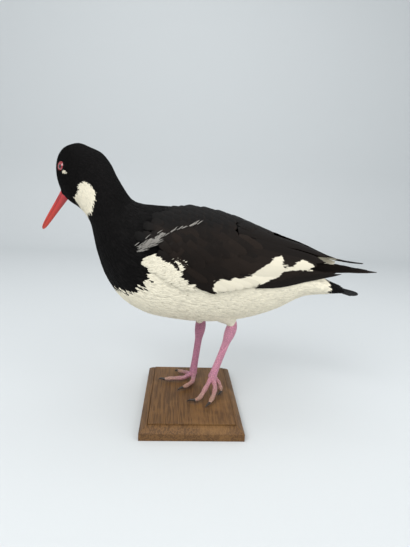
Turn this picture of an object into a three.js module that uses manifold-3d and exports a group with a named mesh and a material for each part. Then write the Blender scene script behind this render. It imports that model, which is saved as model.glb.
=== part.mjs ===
// An oystercatcher in winter plumage, mounted on a bevelled wooden base: it stands on two legs
// with its head bent down and turned to its own right.
// Millimetres, +Z up. The origin is the middle of the underside of the base, and the bird faces -X,
// so that its left side looks along -Y.
import * as THREE from 'three';
import { mergeVertices } from 'three/addons/utils/BufferGeometryUtils.js';
import Module from 'manifold-3d';

const wasm = await Module();
wasm.setup();

// Driving dimensions of the whole mount.
const GAP = 0.3;
const BASE_WIDTH = 105;
const BASE_DEPTH = 150;
const BASE_EDGE = 8;
const BASE_HEIGHT = 14.5;
const BASE_INSET = 12;
const MIDLINE_Y = 18;

// The size of the face, and how the head is held.
const BILL_ROOT = new THREE.Vector3(-150.4, 50, 232);
const HEAD_TURN = 38;
const HEAD_DROP = 44;
const BILL_LENGTH = 64;
const EYE_RADIUS = 6.2;

const LEFT = -1;
const RIGHT = 1;

const deg = THREE.MathUtils.degToRad;
const vec = (x, y, z) => new THREE.Vector3(x, y, z);

// Materials.
const paint = (color, roughness) => new THREE.MeshStandardMaterial({ color, roughness, metalness: 0 });
const BLACK_PLUMAGE = paint(0x121110, 0.7);
const BROWN_PLUMAGE = paint(0x2a2320, 0.75);
const WHITE_PLUMAGE = paint(0xe9e5da, 0.85);
const BILL_RED = paint(0xc8322c, 0.4);
const EYE_RED = paint(0x8e1420, 0.08);
const LEG_PINK = paint(0xd98aa2, 0.5);
const CLAW_BLACK = paint(0x1c1714, 0.4);
const WOOD = paint(0x6b4a30, 0.5);

const group = new THREE.Group();

// Position-only copy of a geometry, with shared corners merged.
function welded(geometry) {
  const plain = geometry.clone();
  for (const name of Object.keys(plain.attributes)) {
    if (name !== 'position') plain.deleteAttribute(name);
  }
  return mergeVertices(plain, 1e-4);
}

function solidOf(geometry) {
  const closed = welded(geometry);
  const triVerts = Uint32Array.from(closed.index.array);
  const vertProperties = Float32Array.from(closed.attributes.position.array);
  const solid = new wasm.Manifold(new wasm.Mesh({ numProp: 3, vertProperties, triVerts }));
  if (solid.volume() > 0) return solid;
  for (let i = 0; i < triVerts.length; i += 3) {
    [triVerts[i], triVerts[i + 1]] = [triVerts[i + 1], triVerts[i]];
  }
  return new wasm.Manifold(new wasm.Mesh({ numProp: 3, vertProperties, triVerts }));
}

// Keeps the largest closed surface of a solid.
function largest(solid) {
  return solid.decompose().reduce((best, part) => (part.volume() > best.volume() ? part : best));
}

function addNode(name, solid, material) {
  const mesh = largest(solid).getMesh();
  const geometry = new THREE.BufferGeometry();
  geometry.setAttribute('position', new THREE.BufferAttribute(Float32Array.from(mesh.vertProperties), 3));
  geometry.setIndex(new THREE.BufferAttribute(Uint32Array.from(mesh.triVerts), 1));
  geometry.computeVertexNormals();
  const node = new THREE.Mesh(geometry, material);
  node.name = name;
  group.add(node);
}

// A closed body whose rings are placed by place(along, around), both from 0 to 1; each end
// ring closes on one point.
function ringBody(around, along, place) {
  const geometry = new THREE.SphereGeometry(1, around, along);
  const position = geometry.attributes.position;
  for (let k = 0; k < position.count; k++) {
    const row = Math.floor(k / (around + 1));
    const column = k % (around + 1);
    const point = place(row / along, (column % around) / around);
    position.setXYZ(k, point.x, point.y, point.z);
  }
  return solidOf(geometry);
}

// Numbers of a row list at a fractional row number, along a smooth curve through the rows.
function between(rows, at) {
  const last = rows.length - 1;
  const i = Math.min(Math.max(Math.floor(at), 0), last - 1);
  const f = at - i;
  const pick = (k) => rows[Math.min(Math.max(k, 0), last)];
  return rows[i].map((_, c) => {
    const [a, b, d, e] = [pick(i - 1)[c], pick(i)[c], pick(i + 1)[c], pick(i + 2)[c]];
    return b + 0.5 * f * (d - a + f * (2 * a - 5 * b + 4 * d - e + f * (3 * (b - d) + e - a)));
  });
}

// The wooden base: a flat-sided slab, a hollow bevel and a raised panel.
function baseSolid() {
  const step = 0.8;
  const profile = [
    [0, 0], [0, BASE_EDGE - 0.6], [0.6, BASE_EDGE], [BASE_INSET * 0.4, BASE_EDGE + 2.6],
    [BASE_INSET * 0.75, BASE_EDGE + 4.6], [BASE_INSET, BASE_HEIGHT - step], [BASE_INSET, BASE_HEIGHT],
  ];
  const corner = [[1, 1], [-1, 1], [-1, -1], [1, -1]];
  return ringBody(4, profile.length + 1, (along, around) => {
    const row = Math.round(along * (profile.length + 1));
    if (row === 0) return vec(0, 0, 0);
    if (row === profile.length + 1) return vec(0, 0, BASE_HEIGHT);
    const [inset, height] = profile[row - 1];
    const [sx, sy] = corner[Math.round(around * 4)];
    return vec(sx * (BASE_WIDTH / 2 - inset), sy * (BASE_DEPTH / 2 - inset), height);
  });
}
addNode('stand_base', baseSolid(), WOOD);

// The head's own directions: back along the line of the bill, up to the crown, right to its right ear.
const turn = deg(HEAD_TURN);
const drop = deg(HEAD_DROP);
const HEAD_BACK = vec(Math.cos(drop) * Math.cos(turn), -Math.cos(drop) * Math.sin(turn), Math.sin(drop));
const HEAD_UP = vec(-Math.sin(drop) * Math.cos(turn), Math.sin(drop) * Math.sin(turn), Math.cos(drop));
const HEAD_RIGHT = vec(Math.sin(turn), Math.cos(turn), 0);
const inHead = (back, up, right) => BILL_ROOT.clone()
  .addScaledVector(HEAD_BACK, back).addScaledVector(HEAD_UP, up).addScaledVector(HEAD_RIGHT, right);

// Stations of the body from the tail to the bill. Each holds the point on the back, the point
// below, the half width, the turn of the station and where between the two points it is widest.
const station = (backX, backY, backZ, lowX, lowY, lowZ, half, turned, waist) =>
  [backX, backY, backZ, lowX, lowY, lowZ, half, turned, waist];
const onMidline = (backX, backZ, lowX, lowZ, half, waist) =>
  station(backX, MIDLINE_Y, backZ, lowX, MIDLINE_Y, lowZ, half, 0, waist);
const faceRow = (back, up, low, half, turned = HEAD_TURN) => {
  const top = inHead(back, up, 0);
  return station(top.x, top.y, top.z, ...low, half, turned, 0.5);
};
const chin = inHead(0, -6.2, 0).toArray();
const BODY = [
  onMidline(172, 140, 166, 134, 15, 0.5),
  onMidline(150, 149, 150, 132.5, 22, 0.5),
  onMidline(122, 165, 122, 128.5, 29, 0.5),
  onMidline(95, 183, 93, 113, 36, 0.5),
  onMidline(65, 198, 63, 102.5, 42, 0.48),
  onMidline(35, 210, 33, 97, 45, 0.47),
  onMidline(5, 219, 3, 96, 46.5, 0.47),
  onMidline(-25, 223, -28, 99, 46.5, 0.48),
  onMidline(-47, 224, -55, 105, 45, 0.5),
  onMidline(-61, 225, -80, 120, 41.5, 0.52),
  onMidline(-70, 228, -97, 143, 36, 0.52),
  onMidline(-76, 234, -107, 169, 30.5, 0.5),
  onMidline(-82, 243, -111.5, 188, 26.5, 0.5),
  station(-89, 19.5, 254, -114, 18.5, 200, 24, 3, 0.5),
  station(-96, 22, 266, -118, 20, 208.5, 22, 9, 0.5),
  station(-106, 25, 276, -122.5, 24, 213.5, 20.5, 17, 0.5),
  station(-119, 29, 281.5, -127, 28.5, 217, 19.6, 26, 0.5),
  faceRow(56.5, 20.5, [-130.4, 32.5, 218.8], 19.6, 33),
  faceRow(48, 28, [-133.2, 36, 219.9], 19.4),
  faceRow(39.5, 32.5, [-136, 38.6, 221.2], 18.4),
  faceRow(31, 32.3, [-138.8, 41, 222.6], 16.4),
  faceRow(22.5, 27, [-141.2, 43, 224], 13),
  faceRow(14, 18.5, [-143.4, 44.8, 225.3], 9.8),
  faceRow(6, 10.8, [-145.2, 46.2, 226.5], 7.4),
  faceRow(0, 6.2, chin, 5.4),
];
const TORSO_END = 11;
const NECK_END = 16.5;
const FACE_END = BODY.length - 1;

// A point of the body's surface at a station number and an angle from the back (0) by the
// bird's right side (90) to below (180), moved out by grow.
function bodyPoint(at, angle, grow = 0) {
  const [bx, by, bz, lx, ly, lz, half, turned, waist] = between(BODY, at);
  const top = vec(bx, by, bz);
  const low = vec(lx, ly, lz);
  const middle = low.clone().lerp(top, waist);
  const side = vec(Math.sin(deg(turned)), Math.cos(deg(turned)), 0);
  const reach = (Math.cos(angle) > 0 ? top : low).clone().sub(middle);
  const height = Math.abs(Math.cos(angle)) * (1 + grow / reach.length());
  return middle.addScaledVector(reach, height).addScaledVector(side, Math.sin(angle) * (half + grow));
}

// A length of the body between two stations, with flat ends set in by half the gap.
function bodySolid(from, to, around, along, grow = 0) {
  const ends = [[from, 1], [to, -1]].map(([at, sign]) => {
    const across = bodyPoint(at, Math.PI / 2).sub(bodyPoint(at, -Math.PI / 2));
    const upright = bodyPoint(at, 0).sub(bodyPoint(at, Math.PI));
    const normal = across.cross(upright).normalize();
    const onward = bodyPoint(at + 0.01, 0).add(bodyPoint(at + 0.01, Math.PI))
      .sub(bodyPoint(at, 0)).sub(bodyPoint(at, Math.PI));
    if (normal.dot(onward) < 0) normal.negate();
    const inward = normal.multiplyScalar(sign * (GAP / 2 - grow));
    const centre = bodyPoint(at, 0).add(bodyPoint(at, Math.PI)).multiplyScalar(0.5);
    return { inward, centre };
  });
  return ringBody(around, along + 2, (t, round) => {
    const row = Math.round(t * (along + 2));
    const end = row <= 1 ? ends[0] : row >= along + 1 ? ends[1] : null;
    if (row === 0 || row === along + 2) return end.centre.clone().add(end.inward);
    const at = from + (to - from) * (row - 1) / along;
    const point = bodyPoint(at, round * 2 * Math.PI, grow);
    return end ? point.add(end.inward) : point;
  });
}

const RUMP = 1;
const torso = bodySolid(RUMP, TORSO_END, 28, 20);
const torsoRoom = bodySolid(RUMP, TORSO_END, 28, 20, GAP + 0.1);
const neck = bodySolid(TORSO_END, NECK_END, 28, 11);

// A point placed by a list of route points, at a share of the way along.
const routeOf = (points) => new THREE.CatmullRomCurve3(points.map((p) => vec(...p)), false, 'centripetal');

// A tube along a route whose half width and half height come from a row list.
function limb(points, rows, around, along, level = vec(0, 0, 1)) {
  const route = routeOf(points);
  return ringBody(around, along + 2, (t, round) => {
    const row = Math.min(Math.max(Math.round(t * (along + 2)) - 1, 0), along);
    const share = row / along;
    const centre = route.getPointAt(share);
    if (t === 0 || t === 1) return centre;
    const heading = route.getTangentAt(share);
    const side = heading.clone().cross(level).normalize();
    const upward = side.clone().cross(heading);
    const [wide, high] = between(rows, share * (rows.length - 1));
    const angle = round * 2 * Math.PI;
    centre.addScaledVector(side, wide * Math.sin(angle));
    return centre.addScaledVector(upward, high * Math.cos(angle));
  });
}

// The bill: two halves that meet along the line of the mouth. Rows hold the distance from the
// root, the ridge above, the keel below and the half width.
const BILL = [
  [GAP, 6.3, -6.3, 5.2], [7, 6.2, -6.1, 4.3], [16, 5.9, -5.7, 3.6], [27, 5.5, -5.2, 3.0],
  [39, 5.0, -4.7, 2.5], [50, 4.3, -4.1, 2.0], [58, 3.3, -3.3, 1.6], [62.5, 1.9, -2.0, 1.0],
  [BILL_LENGTH, 0.6, -0.6, 0.4],
];
function billHalf(isUpper) {
  const sign = isUpper ? 1 : -1;
  const along = 11;
  return ringBody(12, along + 2, (t, round) => {
    const row = Math.min(Math.max(Math.round(t * (along + 2)) - 1, 0), along);
    const [ahead, ridge, keel, half] = between(BILL, row / along * (BILL.length - 1));
    const lip = sign * GAP / 2;
    const reach = isUpper ? ridge : -keel;
    if (t === 0 || t === 1) return inHead(-ahead, lip + sign * reach * 0.3, 0);
    const angle = round * 2 * Math.PI;
    const rise = Math.max(0, Math.cos(angle)) ** 0.8 * (reach - GAP / 2);
    return inHead(-ahead, lip + sign * rise, half * Math.sin(angle));
  });
}
const ball = (radius, wide = 14, high = 10) => new THREE.SphereGeometry(radius, wide, high);

// The nostrils: a long slit on each side of the upper bill near its root.
let upperBill = billHalf(true);
for (const side of [LEFT, RIGHT]) {
  const slit = ball(1, 10, 8).scale(5, 1.5, 0.8);
  const pose = new THREE.Matrix4().makeBasis(HEAD_BACK, HEAD_RIGHT, HEAD_UP);
  slit.applyMatrix4(pose);
  const spot = inHead(-10.5, 2.6, side * 4.4);
  upperBill = upperBill.subtract(solidOf(slit.translate(spot.x, spot.y, spot.z)));
}
addNode('upper_bill', upperBill, BILL_RED);
addNode('lower_bill', billHalf(false), BILL_RED);

// The eyes: a ball in a cup of the head, with a raised ring of bare skin as its lids.
const EYE = { back: 32, up: 8.5, out: 14, forward: -4 };
const LID_RADIUS = 5.3;
let head = bodySolid(NECK_END, FACE_END, 28, 20);
for (const [side, name] of [[LEFT, 'left'], [RIGHT, 'right']]) {
  const lookOut = HEAD_RIGHT.clone().multiplyScalar(side * Math.cos(deg(EYE.forward)))
    .addScaledVector(HEAD_BACK, -Math.sin(deg(EYE.forward)));
  const centre = inHead(EYE.back, EYE.up, side * EYE.out);
  const turned = new THREE.Quaternion().setFromUnitVectors(vec(0, 0, 1), lookOut);
  const lidCentre = centre.clone().addScaledVector(lookOut, 3.7);
  const lids = new THREE.TorusGeometry(LID_RADIUS, 1.1, 6, 18).applyQuaternion(turned)
    .translate(lidCentre.x, lidCentre.y, lidCentre.z);
  const cup = ball(EYE_RADIUS + GAP).applyQuaternion(turned).translate(centre.x, centre.y, centre.z);
  const eye = ball(EYE_RADIUS).applyQuaternion(turned).translate(centre.x, centre.y, centre.z);
  head = head.add(solidOf(lids)).subtract(solidOf(cup));
  addNode(name + '_eye', solidOf(eye), EYE_RED);
}

// The line of the mouth runs back from the bill into the face.
const mouth = new THREE.BoxGeometry(8, 30, 0.5);
mouth.applyMatrix4(new THREE.Matrix4().makeBasis(HEAD_BACK, HEAD_RIGHT, HEAD_UP));
const gape = inHead(1, 0, 0);
head = head.subtract(solidOf(mouth.translate(gape.x, gape.y, gape.z)));

addNode('torso', torso, WHITE_PLUMAGE);
addNode('neck', neck, BLACK_PLUMAGE);
addNode('head', head, BLACK_PLUMAGE);

// Legs. The joint is where the toes meet the shank, and the ankle is the knob below the thigh.
const FLOOR = BASE_HEIGHT + GAP;
const SHANK = [
  [4.3, 4.6], [3.5, 4.2], [3.1, 4.0], [3.0, 4.0], [3.1, 4.1], [3.5, 4.4], [4.9, 6.0], [5.0, 6.2],
  [4.2, 4.6],
];
const TOE = [[2.6, 2.9], [3.0, 2.8], [2.4, 2.2], [2.7, 2.5], [2.2, 2.0], [2.5, 2.3], [1.5, 1.5]];
const CLAW = [[1.6, 1.5], [1.3, 1.3], [0.9, 1.0], [0.35, 0.35]];
const LEGS = {
  left: {
    joint: [24.8, 2, 32.9],
    ankle: [43.7, 8, 87.2],
    knee: [43.8, 8.5, 95],
    thigh: [33, 6, 120],
    thighHalf: 15,
    toes: {
      inner: [[21.8, -1.9, 29], [15.5, -13.5, 24], [9.7, -23.3, 19.5], [4.2, -26.2, 17.8]],
      middle: [[25.6, -3.5, 30], [26.9, -12.1, 25.5], [24.3, -22, 20.5], [19.8, -31.6, 17.8]],
      outer: [[29.5, 0.5, 29], [33.2, -0.5, 23.5], [34.8, -4.8, 17.8]],
    },
    claws: {
      inner: [[3.4, -26.4, 17.5], [-0.8, -26.2, 17.9], [-4.7, -24.6, 15.5]],
      middle: [[19.4, -32.4, 17.5], [17, -36, 17.6], [14.6, -37.9, 15.5]],
      outer: [[34.6, -5.8, 17.5], [33.2, -8.4, 17.2], [30.8, -9.8, 15.5]],
    },
  },
  right: {
    joint: [3.4, 30, 23.7],
    ankle: [10.1, 36, 79.9],
    knee: [9.7, 36, 91],
    thigh: [8, 34, 120],
    thighHalf: 10,
    toes: {
      inner: [[3.8, 24, 21.8], [2.4, 14.9, 19.6], [-3.5, 7.6, 18.3], [-9, 3.4, 17.6]],
      middle: [[-1.5, 28, 21.5], [-8.2, 25.6, 18.8], [-18, 25, 18.2], [-30.6, 24, 17.6]],
      outer: [[-0.5, 34.5, 20.6], [-6.5, 42, 18.4], [-14.6, 48, 17.5]],
    },
    claws: {
      inner: [[-9.8, 2.8, 17.3], [-12.6, 0.6, 17.5], [-15, -0.6, 15.5]],
      middle: [[-31.6, 24.2, 17.4], [-35, 25.3, 17.6], [-38.6, 27.4, 15.5]],
      outer: [[-15.4, 48.6, 17.2], [-17.2, 49.9, 17.1], [-19, 50.8, 15.5]],
    },
  },
};
for (const [side, leg] of Object.entries(LEGS)) {
  const { joint, ankle, knee, thigh, thighHalf } = leg;
  const shank = limb([joint, ankle, knee], SHANK, 10, 16, vec(-1, 0, 0));
  const above = vec(...knee).lerp(vec(...thigh), GAP / vec(...knee).distanceTo(vec(...thigh)));
  const thighRows = [
    [5.2, 5.6], [thighHalf * 0.7, thighHalf * 0.9], [thighHalf, thighHalf * 1.4],
    [thighHalf, thighHalf * 1.5],
  ];
  const roomRows = SHANK.map(([wide, high]) => [wide + GAP, high + GAP]);
  const roomTop = vec(...knee).addScaledVector(vec(...knee).sub(vec(...ankle)).normalize(), GAP).toArray();
  const shankRoom = limb([joint, ankle, roomTop], roomRows, 10, 16, vec(-1, 0, 0));
  const upperLeg = limb([above.toArray(), thigh], thighRows, 14, 6, vec(-1, 0, 0));
  addNode(side + '_thigh', upperLeg.subtract(torsoRoom).subtract(shankRoom), WHITE_PLUMAGE);
  let foot = solidOf(ball(5, 10, 8).scale(1, 1, 1.1).translate(...joint));
  const clawRoom = [];
  for (const [digit, route] of Object.entries(leg.toes)) {
    foot = foot.add(limb([joint, ...route], TOE, 8, 10));
    addNode(side + '_claw_' + digit, limb(leg.claws[digit], CLAW, 6, 4), CLAW_BLACK);
    clawRoom.push(limb(leg.claws[digit], CLAW.map(([wide, high]) => [wide + GAP, high + GAP]), 6, 4));
  }
  const underside = solidOf(new THREE.BoxGeometry(200, 200, 10).translate(0, 0, FLOOR - 5));
  addNode(side + '_shank', shank, LEG_PINK);
  const footAlone = clawRoom.reduce((rest, room) => rest.subtract(room), foot);
  addNode(side + '_foot', footAlone.subtract(underside).subtract(shankRoom), LEG_PINK);
}

// A thin closed plate: place(u, v, under) gives a point of its upper face (under 0) or its
// lower one (under 1), with u from 0 to 1 along it and v from -1 to 1 across it.
function plate(along, across, place) {
  const corners = [];
  const faces = [];
  const sheet = (along + 1) * (across + 1);
  const at = (under, i, j) => under * sheet + i * (across + 1) + j;
  for (const under of [0, 1]) {
    for (let i = 0; i <= along; i++) {
      for (let j = 0; j <= across; j++) corners.push(place(i / along, 2 * j / across - 1, under));
    }
  }
  for (let i = 0; i < along; i++) {
    for (let j = 0; j < across; j++) {
      for (const under of [0, 1]) {
        const [a, b] = [at(under, i, j), at(under, i + 1, j)];
        const [c, d] = [at(under, i + 1, j + 1), at(under, i, j + 1)];
        faces.push(...(under ? [a, c, b, a, d, c] : [a, b, c, a, c, d]));
      }
    }
  }
  const rim = [];
  for (let i = 0; i < along; i++) rim.push([i, 0]);
  for (let j = 0; j < across; j++) rim.push([along, j]);
  for (let i = along; i > 0; i--) rim.push([i, across]);
  for (let j = across; j > 0; j--) rim.push([0, j]);
  rim.forEach(([i, j], k) => {
    const [ni, nj] = rim[(k + 1) % rim.length];
    const [a, b, c, d] = [at(0, i, j), at(0, ni, nj), at(1, ni, nj), at(1, i, j)];
    faces.push(a, c, b, a, d, c);
  });
  const geometry = new THREE.BufferGeometry().setFromPoints(corners);
  geometry.setIndex(faces);
  return solidOf(geometry);
}

// The surface that the folded wings lie on, which goes on past the rump to the wing tips. Rows,
// one for every BED_STEP along the bird: height of the top, of the widest line and of the
// bottom, and the half width.
const BED_START = -80;
const BED_STEP = 40;
const BED = [
  [226, 180, 125, 38], [227.5, 172, 105, 48.5], [226.5, 163, 96, 51], [216.5, 158, 96, 49.5],
  [201.5, 157, 105, 42.5], [187.5, 159, 128, 31.5], [171.5, 160, 146, 18], [166, 160, 152, 9],
  [163, 159, 154, 5],
];
const bedRow = (x) => between(BED, (x - BED_START) / BED_STEP);
function bedPoint(x, angle, side, out = 0) {
  const [top, middle, bottom, half] = bedRow(x);
  const upright = Math.cos(angle) > 0 ? top - middle : middle - bottom;
  const sideways = side * (half + out) * Math.sin(angle);
  return vec(x, MIDLINE_Y + sideways, middle + (upright + out) * Math.cos(angle));
}
// The angle round the bed, from its top, of a height in the side view.
function bedAngle(x, height) {
  const [top, middle, bottom] = bedRow(x);
  const upright = height > middle ? top - middle : middle - bottom;
  return Math.acos(THREE.MathUtils.clamp((height - middle) / upright, -0.95, 0.965));
}

// The folded wings, one smooth form each out to the tips of the flight feathers. The lower edge is
// a height for each of even steps from the bend of the wing to its tip.
const WING_THICK = 2.6;
const WING_TOP_ANGLE = [deg(20), deg(12)];
const LOWER_EDGE = [[196], [178], [154], [143], [139.5], [140.5], [144.5], [149], [153], [157]];
const WINGS = {
  left: { side: LEFT, bend: -66, tip: 163 },
  right: { side: RIGHT, bend: -54, tip: 214 },
};
for (const [name, { side, bend, tip }] of Object.entries(WINGS)) {
  const wing = plate(22, 6, (u, v, under) => {
    const x = THREE.MathUtils.lerp(bend, tip, u);
    const low = bedAngle(x, between(LOWER_EDGE, u * (LOWER_EDGE.length - 1))[0]);
    const narrowing = 1 - 0.75 * THREE.MathUtils.smoothstep(u, 0.72, 1);
    const open = Math.min(1, Math.sqrt(u * 5)) * narrowing;
    const ridge = THREE.MathUtils.lerp(...WING_TOP_ANGLE, THREE.MathUtils.smoothstep(u, 0.25, 0.45));
    const high = THREE.MathUtils.lerp(bedAngle(x, 186 - 26 * u), ridge, open);
    return bedPoint(x, THREE.MathUtils.lerp(high, low, (v + 1) / 2), side, under ? -WING_THICK : 0);
  });
  addNode(name + '_wing', wing.subtract(torsoRoom), BROWN_PLUMAGE);
}

// The tail: coverts round its root, and the tail feathers as one shallow fan, highest in the middle.
const TAIL_START = vec(156, MIDLINE_Y, 140.5);
const TAIL_LENGTH = 35;
const TAIL_HALF = [12, 19];
const TAIL_THICK = 2.4;
const tailRoot = bodySolid(0, RUMP, 20, 4);
const fan = plate(4, 6, (u, v, under) => {
  const reach = u * (TAIL_LENGTH - 6 * Math.abs(v));
  const drop = 0.19 * reach + 2.5 * v * v;
  const spread = v * THREE.MathUtils.lerp(...TAIL_HALF, u);
  return TAIL_START.clone().add(vec(reach, spread, -drop - TAIL_THICK * under));
});
addNode('tail', tailRoot.add(fan), BLACK_PLUMAGE);

export default group;
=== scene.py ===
# An oystercatcher in winter plumage as a mounted museum specimen, standing on a bevelled wooden
# base. Metres, +Z up. The origin is the middle of the underside of the base, the bird faces -X
# and its left side looks along -Y.
import math
import bmesh
import bpy
import numpy as np
from mathutils import Matrix, Vector


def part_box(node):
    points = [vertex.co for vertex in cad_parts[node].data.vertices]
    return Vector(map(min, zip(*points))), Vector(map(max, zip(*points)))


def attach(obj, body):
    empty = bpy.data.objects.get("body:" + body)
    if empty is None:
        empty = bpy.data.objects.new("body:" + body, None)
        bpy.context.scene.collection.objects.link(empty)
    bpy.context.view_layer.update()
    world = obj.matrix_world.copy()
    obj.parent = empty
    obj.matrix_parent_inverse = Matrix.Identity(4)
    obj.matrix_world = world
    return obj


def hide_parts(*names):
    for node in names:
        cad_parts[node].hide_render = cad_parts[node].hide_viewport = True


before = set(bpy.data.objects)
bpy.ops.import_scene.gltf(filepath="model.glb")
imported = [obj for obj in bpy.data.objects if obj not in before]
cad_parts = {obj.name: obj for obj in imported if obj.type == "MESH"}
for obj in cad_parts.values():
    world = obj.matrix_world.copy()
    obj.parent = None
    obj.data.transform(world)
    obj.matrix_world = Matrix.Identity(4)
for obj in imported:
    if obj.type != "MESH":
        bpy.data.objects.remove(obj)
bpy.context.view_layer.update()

# The room: a pale plain floor that runs up into a wall, lit as in a shop's photo tent.
# Matt off-white card, with a large soft lamp high on the left, a weaker one on the right and
# one above. The camera stands on the bird's left side.
FLOOR_SIDE = 4.0
FLOOR_FACES = (4, 80)
FLOOR_COLOUR = (0.64, 0.662, 0.672)
FLOOR_ROUGHNESS = 0.9
WALL_DISTANCE = 1.1
WALL_BEND = 0.35
WALL_STRETCH = 2.5


class Term:
    """A shader socket that can be used in sums, products and comparisons."""

    def __init__(self, tree, socket):
        self.tree = tree
        self.socket = socket

    def maths(self, operation, *values):
        node = self.tree.nodes.new("ShaderNodeMath")
        node.operation = operation
        for slot_number, value in enumerate(values):
            if isinstance(value, Term):
                self.tree.links.new(value.socket, node.inputs[slot_number])
            else:
                node.inputs[slot_number].default_value = value
        return Term(self.tree, node.outputs[0])

    def __add__(self, other):
        return self.maths("ADD", self, other)

    def __radd__(self, other):
        return self.maths("ADD", other, self)

    def __sub__(self, other):
        return self.maths("SUBTRACT", self, other)

    def __rsub__(self, other):
        return self.maths("SUBTRACT", other, self)

    def __mul__(self, other):
        return self.maths("MULTIPLY", self, other)

    def __rmul__(self, other):
        return self.maths("MULTIPLY", other, self)

    def __truediv__(self, other):
        return self.maths("DIVIDE", self, other)

    def sine(self):
        return self.maths("SINE", self)

    def size(self):
        return self.maths("ABSOLUTE", self)

    def power(self, exponent):
        return self.maths("POWER", self, exponent)

    def ramp(self, low, high):
        """0 below low, 1 above high, and even between them."""
        share = (self - low) / (high - low)
        return share.maths("MINIMUM", share.maths("MAXIMUM", share, 0.0), 1.0)


class Paint:
    """A material with one principled shader, and its other nodes made by node()."""

    def __init__(self, name):
        self.material = bpy.data.materials.new(name)
        self.material.use_nodes = True
        self.tree = self.material.node_tree
        self.shader = self.tree.nodes["Principled BSDF"]

    def node(self, kind, settings=(), inputs=()):
        made = self.tree.nodes.new(kind)
        for name, value in dict(settings).items():
            setattr(made, name, value)
        for name, value in dict(inputs).items():
            self.put(value, made.inputs[name])
        return made

    def put(self, value, target):
        if isinstance(value, Term):
            value = value.socket
        if isinstance(value, bpy.types.NodeSocket):
            self.tree.links.new(value, target)
        else:
            target.default_value = value

    def attribute(self, name):
        found = self.node("ShaderNodeAttribute", {"attribute_name": name})
        return Term(self.tree, found.outputs["Fac"])

    def place(self, stretch=(1, 1, 1)):
        """Object coordinates, multiplied along each axis."""
        coordinates = self.node("ShaderNodeTexCoord").outputs["Object"]
        moved = self.node("ShaderNodeVectorMath", {"operation": "MULTIPLY"}, {0: coordinates, 1: stretch})
        return moved.outputs[0]

    def noise(self, scale, detail=3.0, vector=None, rough=0.5):
        vector = vector or self.place()
        inputs = {"Vector": vector, "Scale": scale, "Detail": detail, "Roughness": rough}
        return Term(self.tree, self.node("ShaderNodeTexNoise", {}, inputs).outputs["Fac"])

    def mix(self, share, first, second):
        """A colour between two colours."""
        made = self.node("ShaderNodeMix", {"data_type": "RGBA"})
        self.put(share, made.inputs[0])
        for value, target in ((first, made.inputs[6]), (second, made.inputs[7])):
            self.put((*value, 1.0) if isinstance(value, tuple) else value, target)
        return made.outputs[2]

    def finish(self, colour, roughness, height=None, relief=0.0005, strength=1.0, **constants):
        self.put(colour, self.shader.inputs["Base Color"])
        self.put(roughness, self.shader.inputs["Roughness"])
        if height is not None:
            inputs = {"Height": height, "Distance": relief, "Strength": strength}
            bump = self.node("ShaderNodeBump", {}, inputs)
            self.put(bump.outputs["Normal"], self.shader.inputs["Normal"])
        for name, value in constants.items():
            self.shader.inputs[name.replace("_", " ")].default_value = value
        return self.material


def link_mesh(name, mesh, material, smooth=True):
    """Puts a mesh in the scene with its material."""
    made = bpy.data.objects.new(name, mesh)
    bpy.context.scene.collection.objects.link(made)
    mesh.materials.append(material)
    mesh.polygons.foreach_set("use_smooth", [smooth] * len(mesh.polygons))
    return made


def toned(colour, share):
    """A colour made darker or lighter by a share."""
    return tuple(channel * share for channel in colour)


card = Paint("pale_card")
grain = card.noise(900.0, 2.0)
card_colour = card.mix(grain, FLOOR_COLOUR, toned(FLOOR_COLOUR, 0.985))
card_material = card.finish(card_colour, FLOOR_ROUGHNESS, grain, 0.0001)
floor_mesh = bpy.data.meshes.new("floor")
sheet = bmesh.new()
bmesh.ops.create_grid(sheet, x_segments=FLOOR_FACES[0], y_segments=FLOOR_FACES[1], size=FLOOR_SIDE / 2)
for corner in sheet.verts:
    beyond = corner.co.y - WALL_DISTANCE
    if beyond > 0:
        turn = min(beyond / WALL_BEND, math.pi / 2)
        straight = max(0.0, beyond - WALL_BEND * math.pi / 2)
        corner.co.y = WALL_DISTANCE + WALL_BEND * math.sin(turn)
        corner.co.z = WALL_BEND * (1 - math.cos(turn)) + straight * WALL_STRETCH
sheet.to_mesh(floor_mesh)
sheet.free()
floor = link_mesh("floor", floor_mesh, card_material)

# The camera's place and directions, fitted to the corners of the wooden base, and its lens in
# millimetres.
CAMERA_PLACE = Vector((-0.01903, -0.43827, 0.24296))
CAMERA_RIGHT = Vector((0.99728, -0.05747, 0.04621))
CAMERA_UP = Vector((-0.03375, 0.20135, 0.97894))
CAMERA_AHEAD = Vector((0.06556, 0.97783, -0.19886))
CAMERA_SENSOR, CAMERA_LENS = 36.0, 27.05
CAMERA_NEAREST = 0.01
camera_data = bpy.data.cameras.new("camera")
camera_data.sensor_fit = "VERTICAL"
camera_data.sensor_height = CAMERA_SENSOR
camera_data.lens = CAMERA_LENS
camera_data.clip_start = CAMERA_NEAREST
camera = bpy.data.objects.new("camera", camera_data)
camera_turn = Matrix((CAMERA_RIGHT, CAMERA_UP, -CAMERA_AHEAD)).transposed().to_4x4()
camera.matrix_world = Matrix.Translation(CAMERA_PLACE) @ camera_turn
bpy.context.scene.collection.objects.link(camera)
bpy.context.scene.camera = camera

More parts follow.
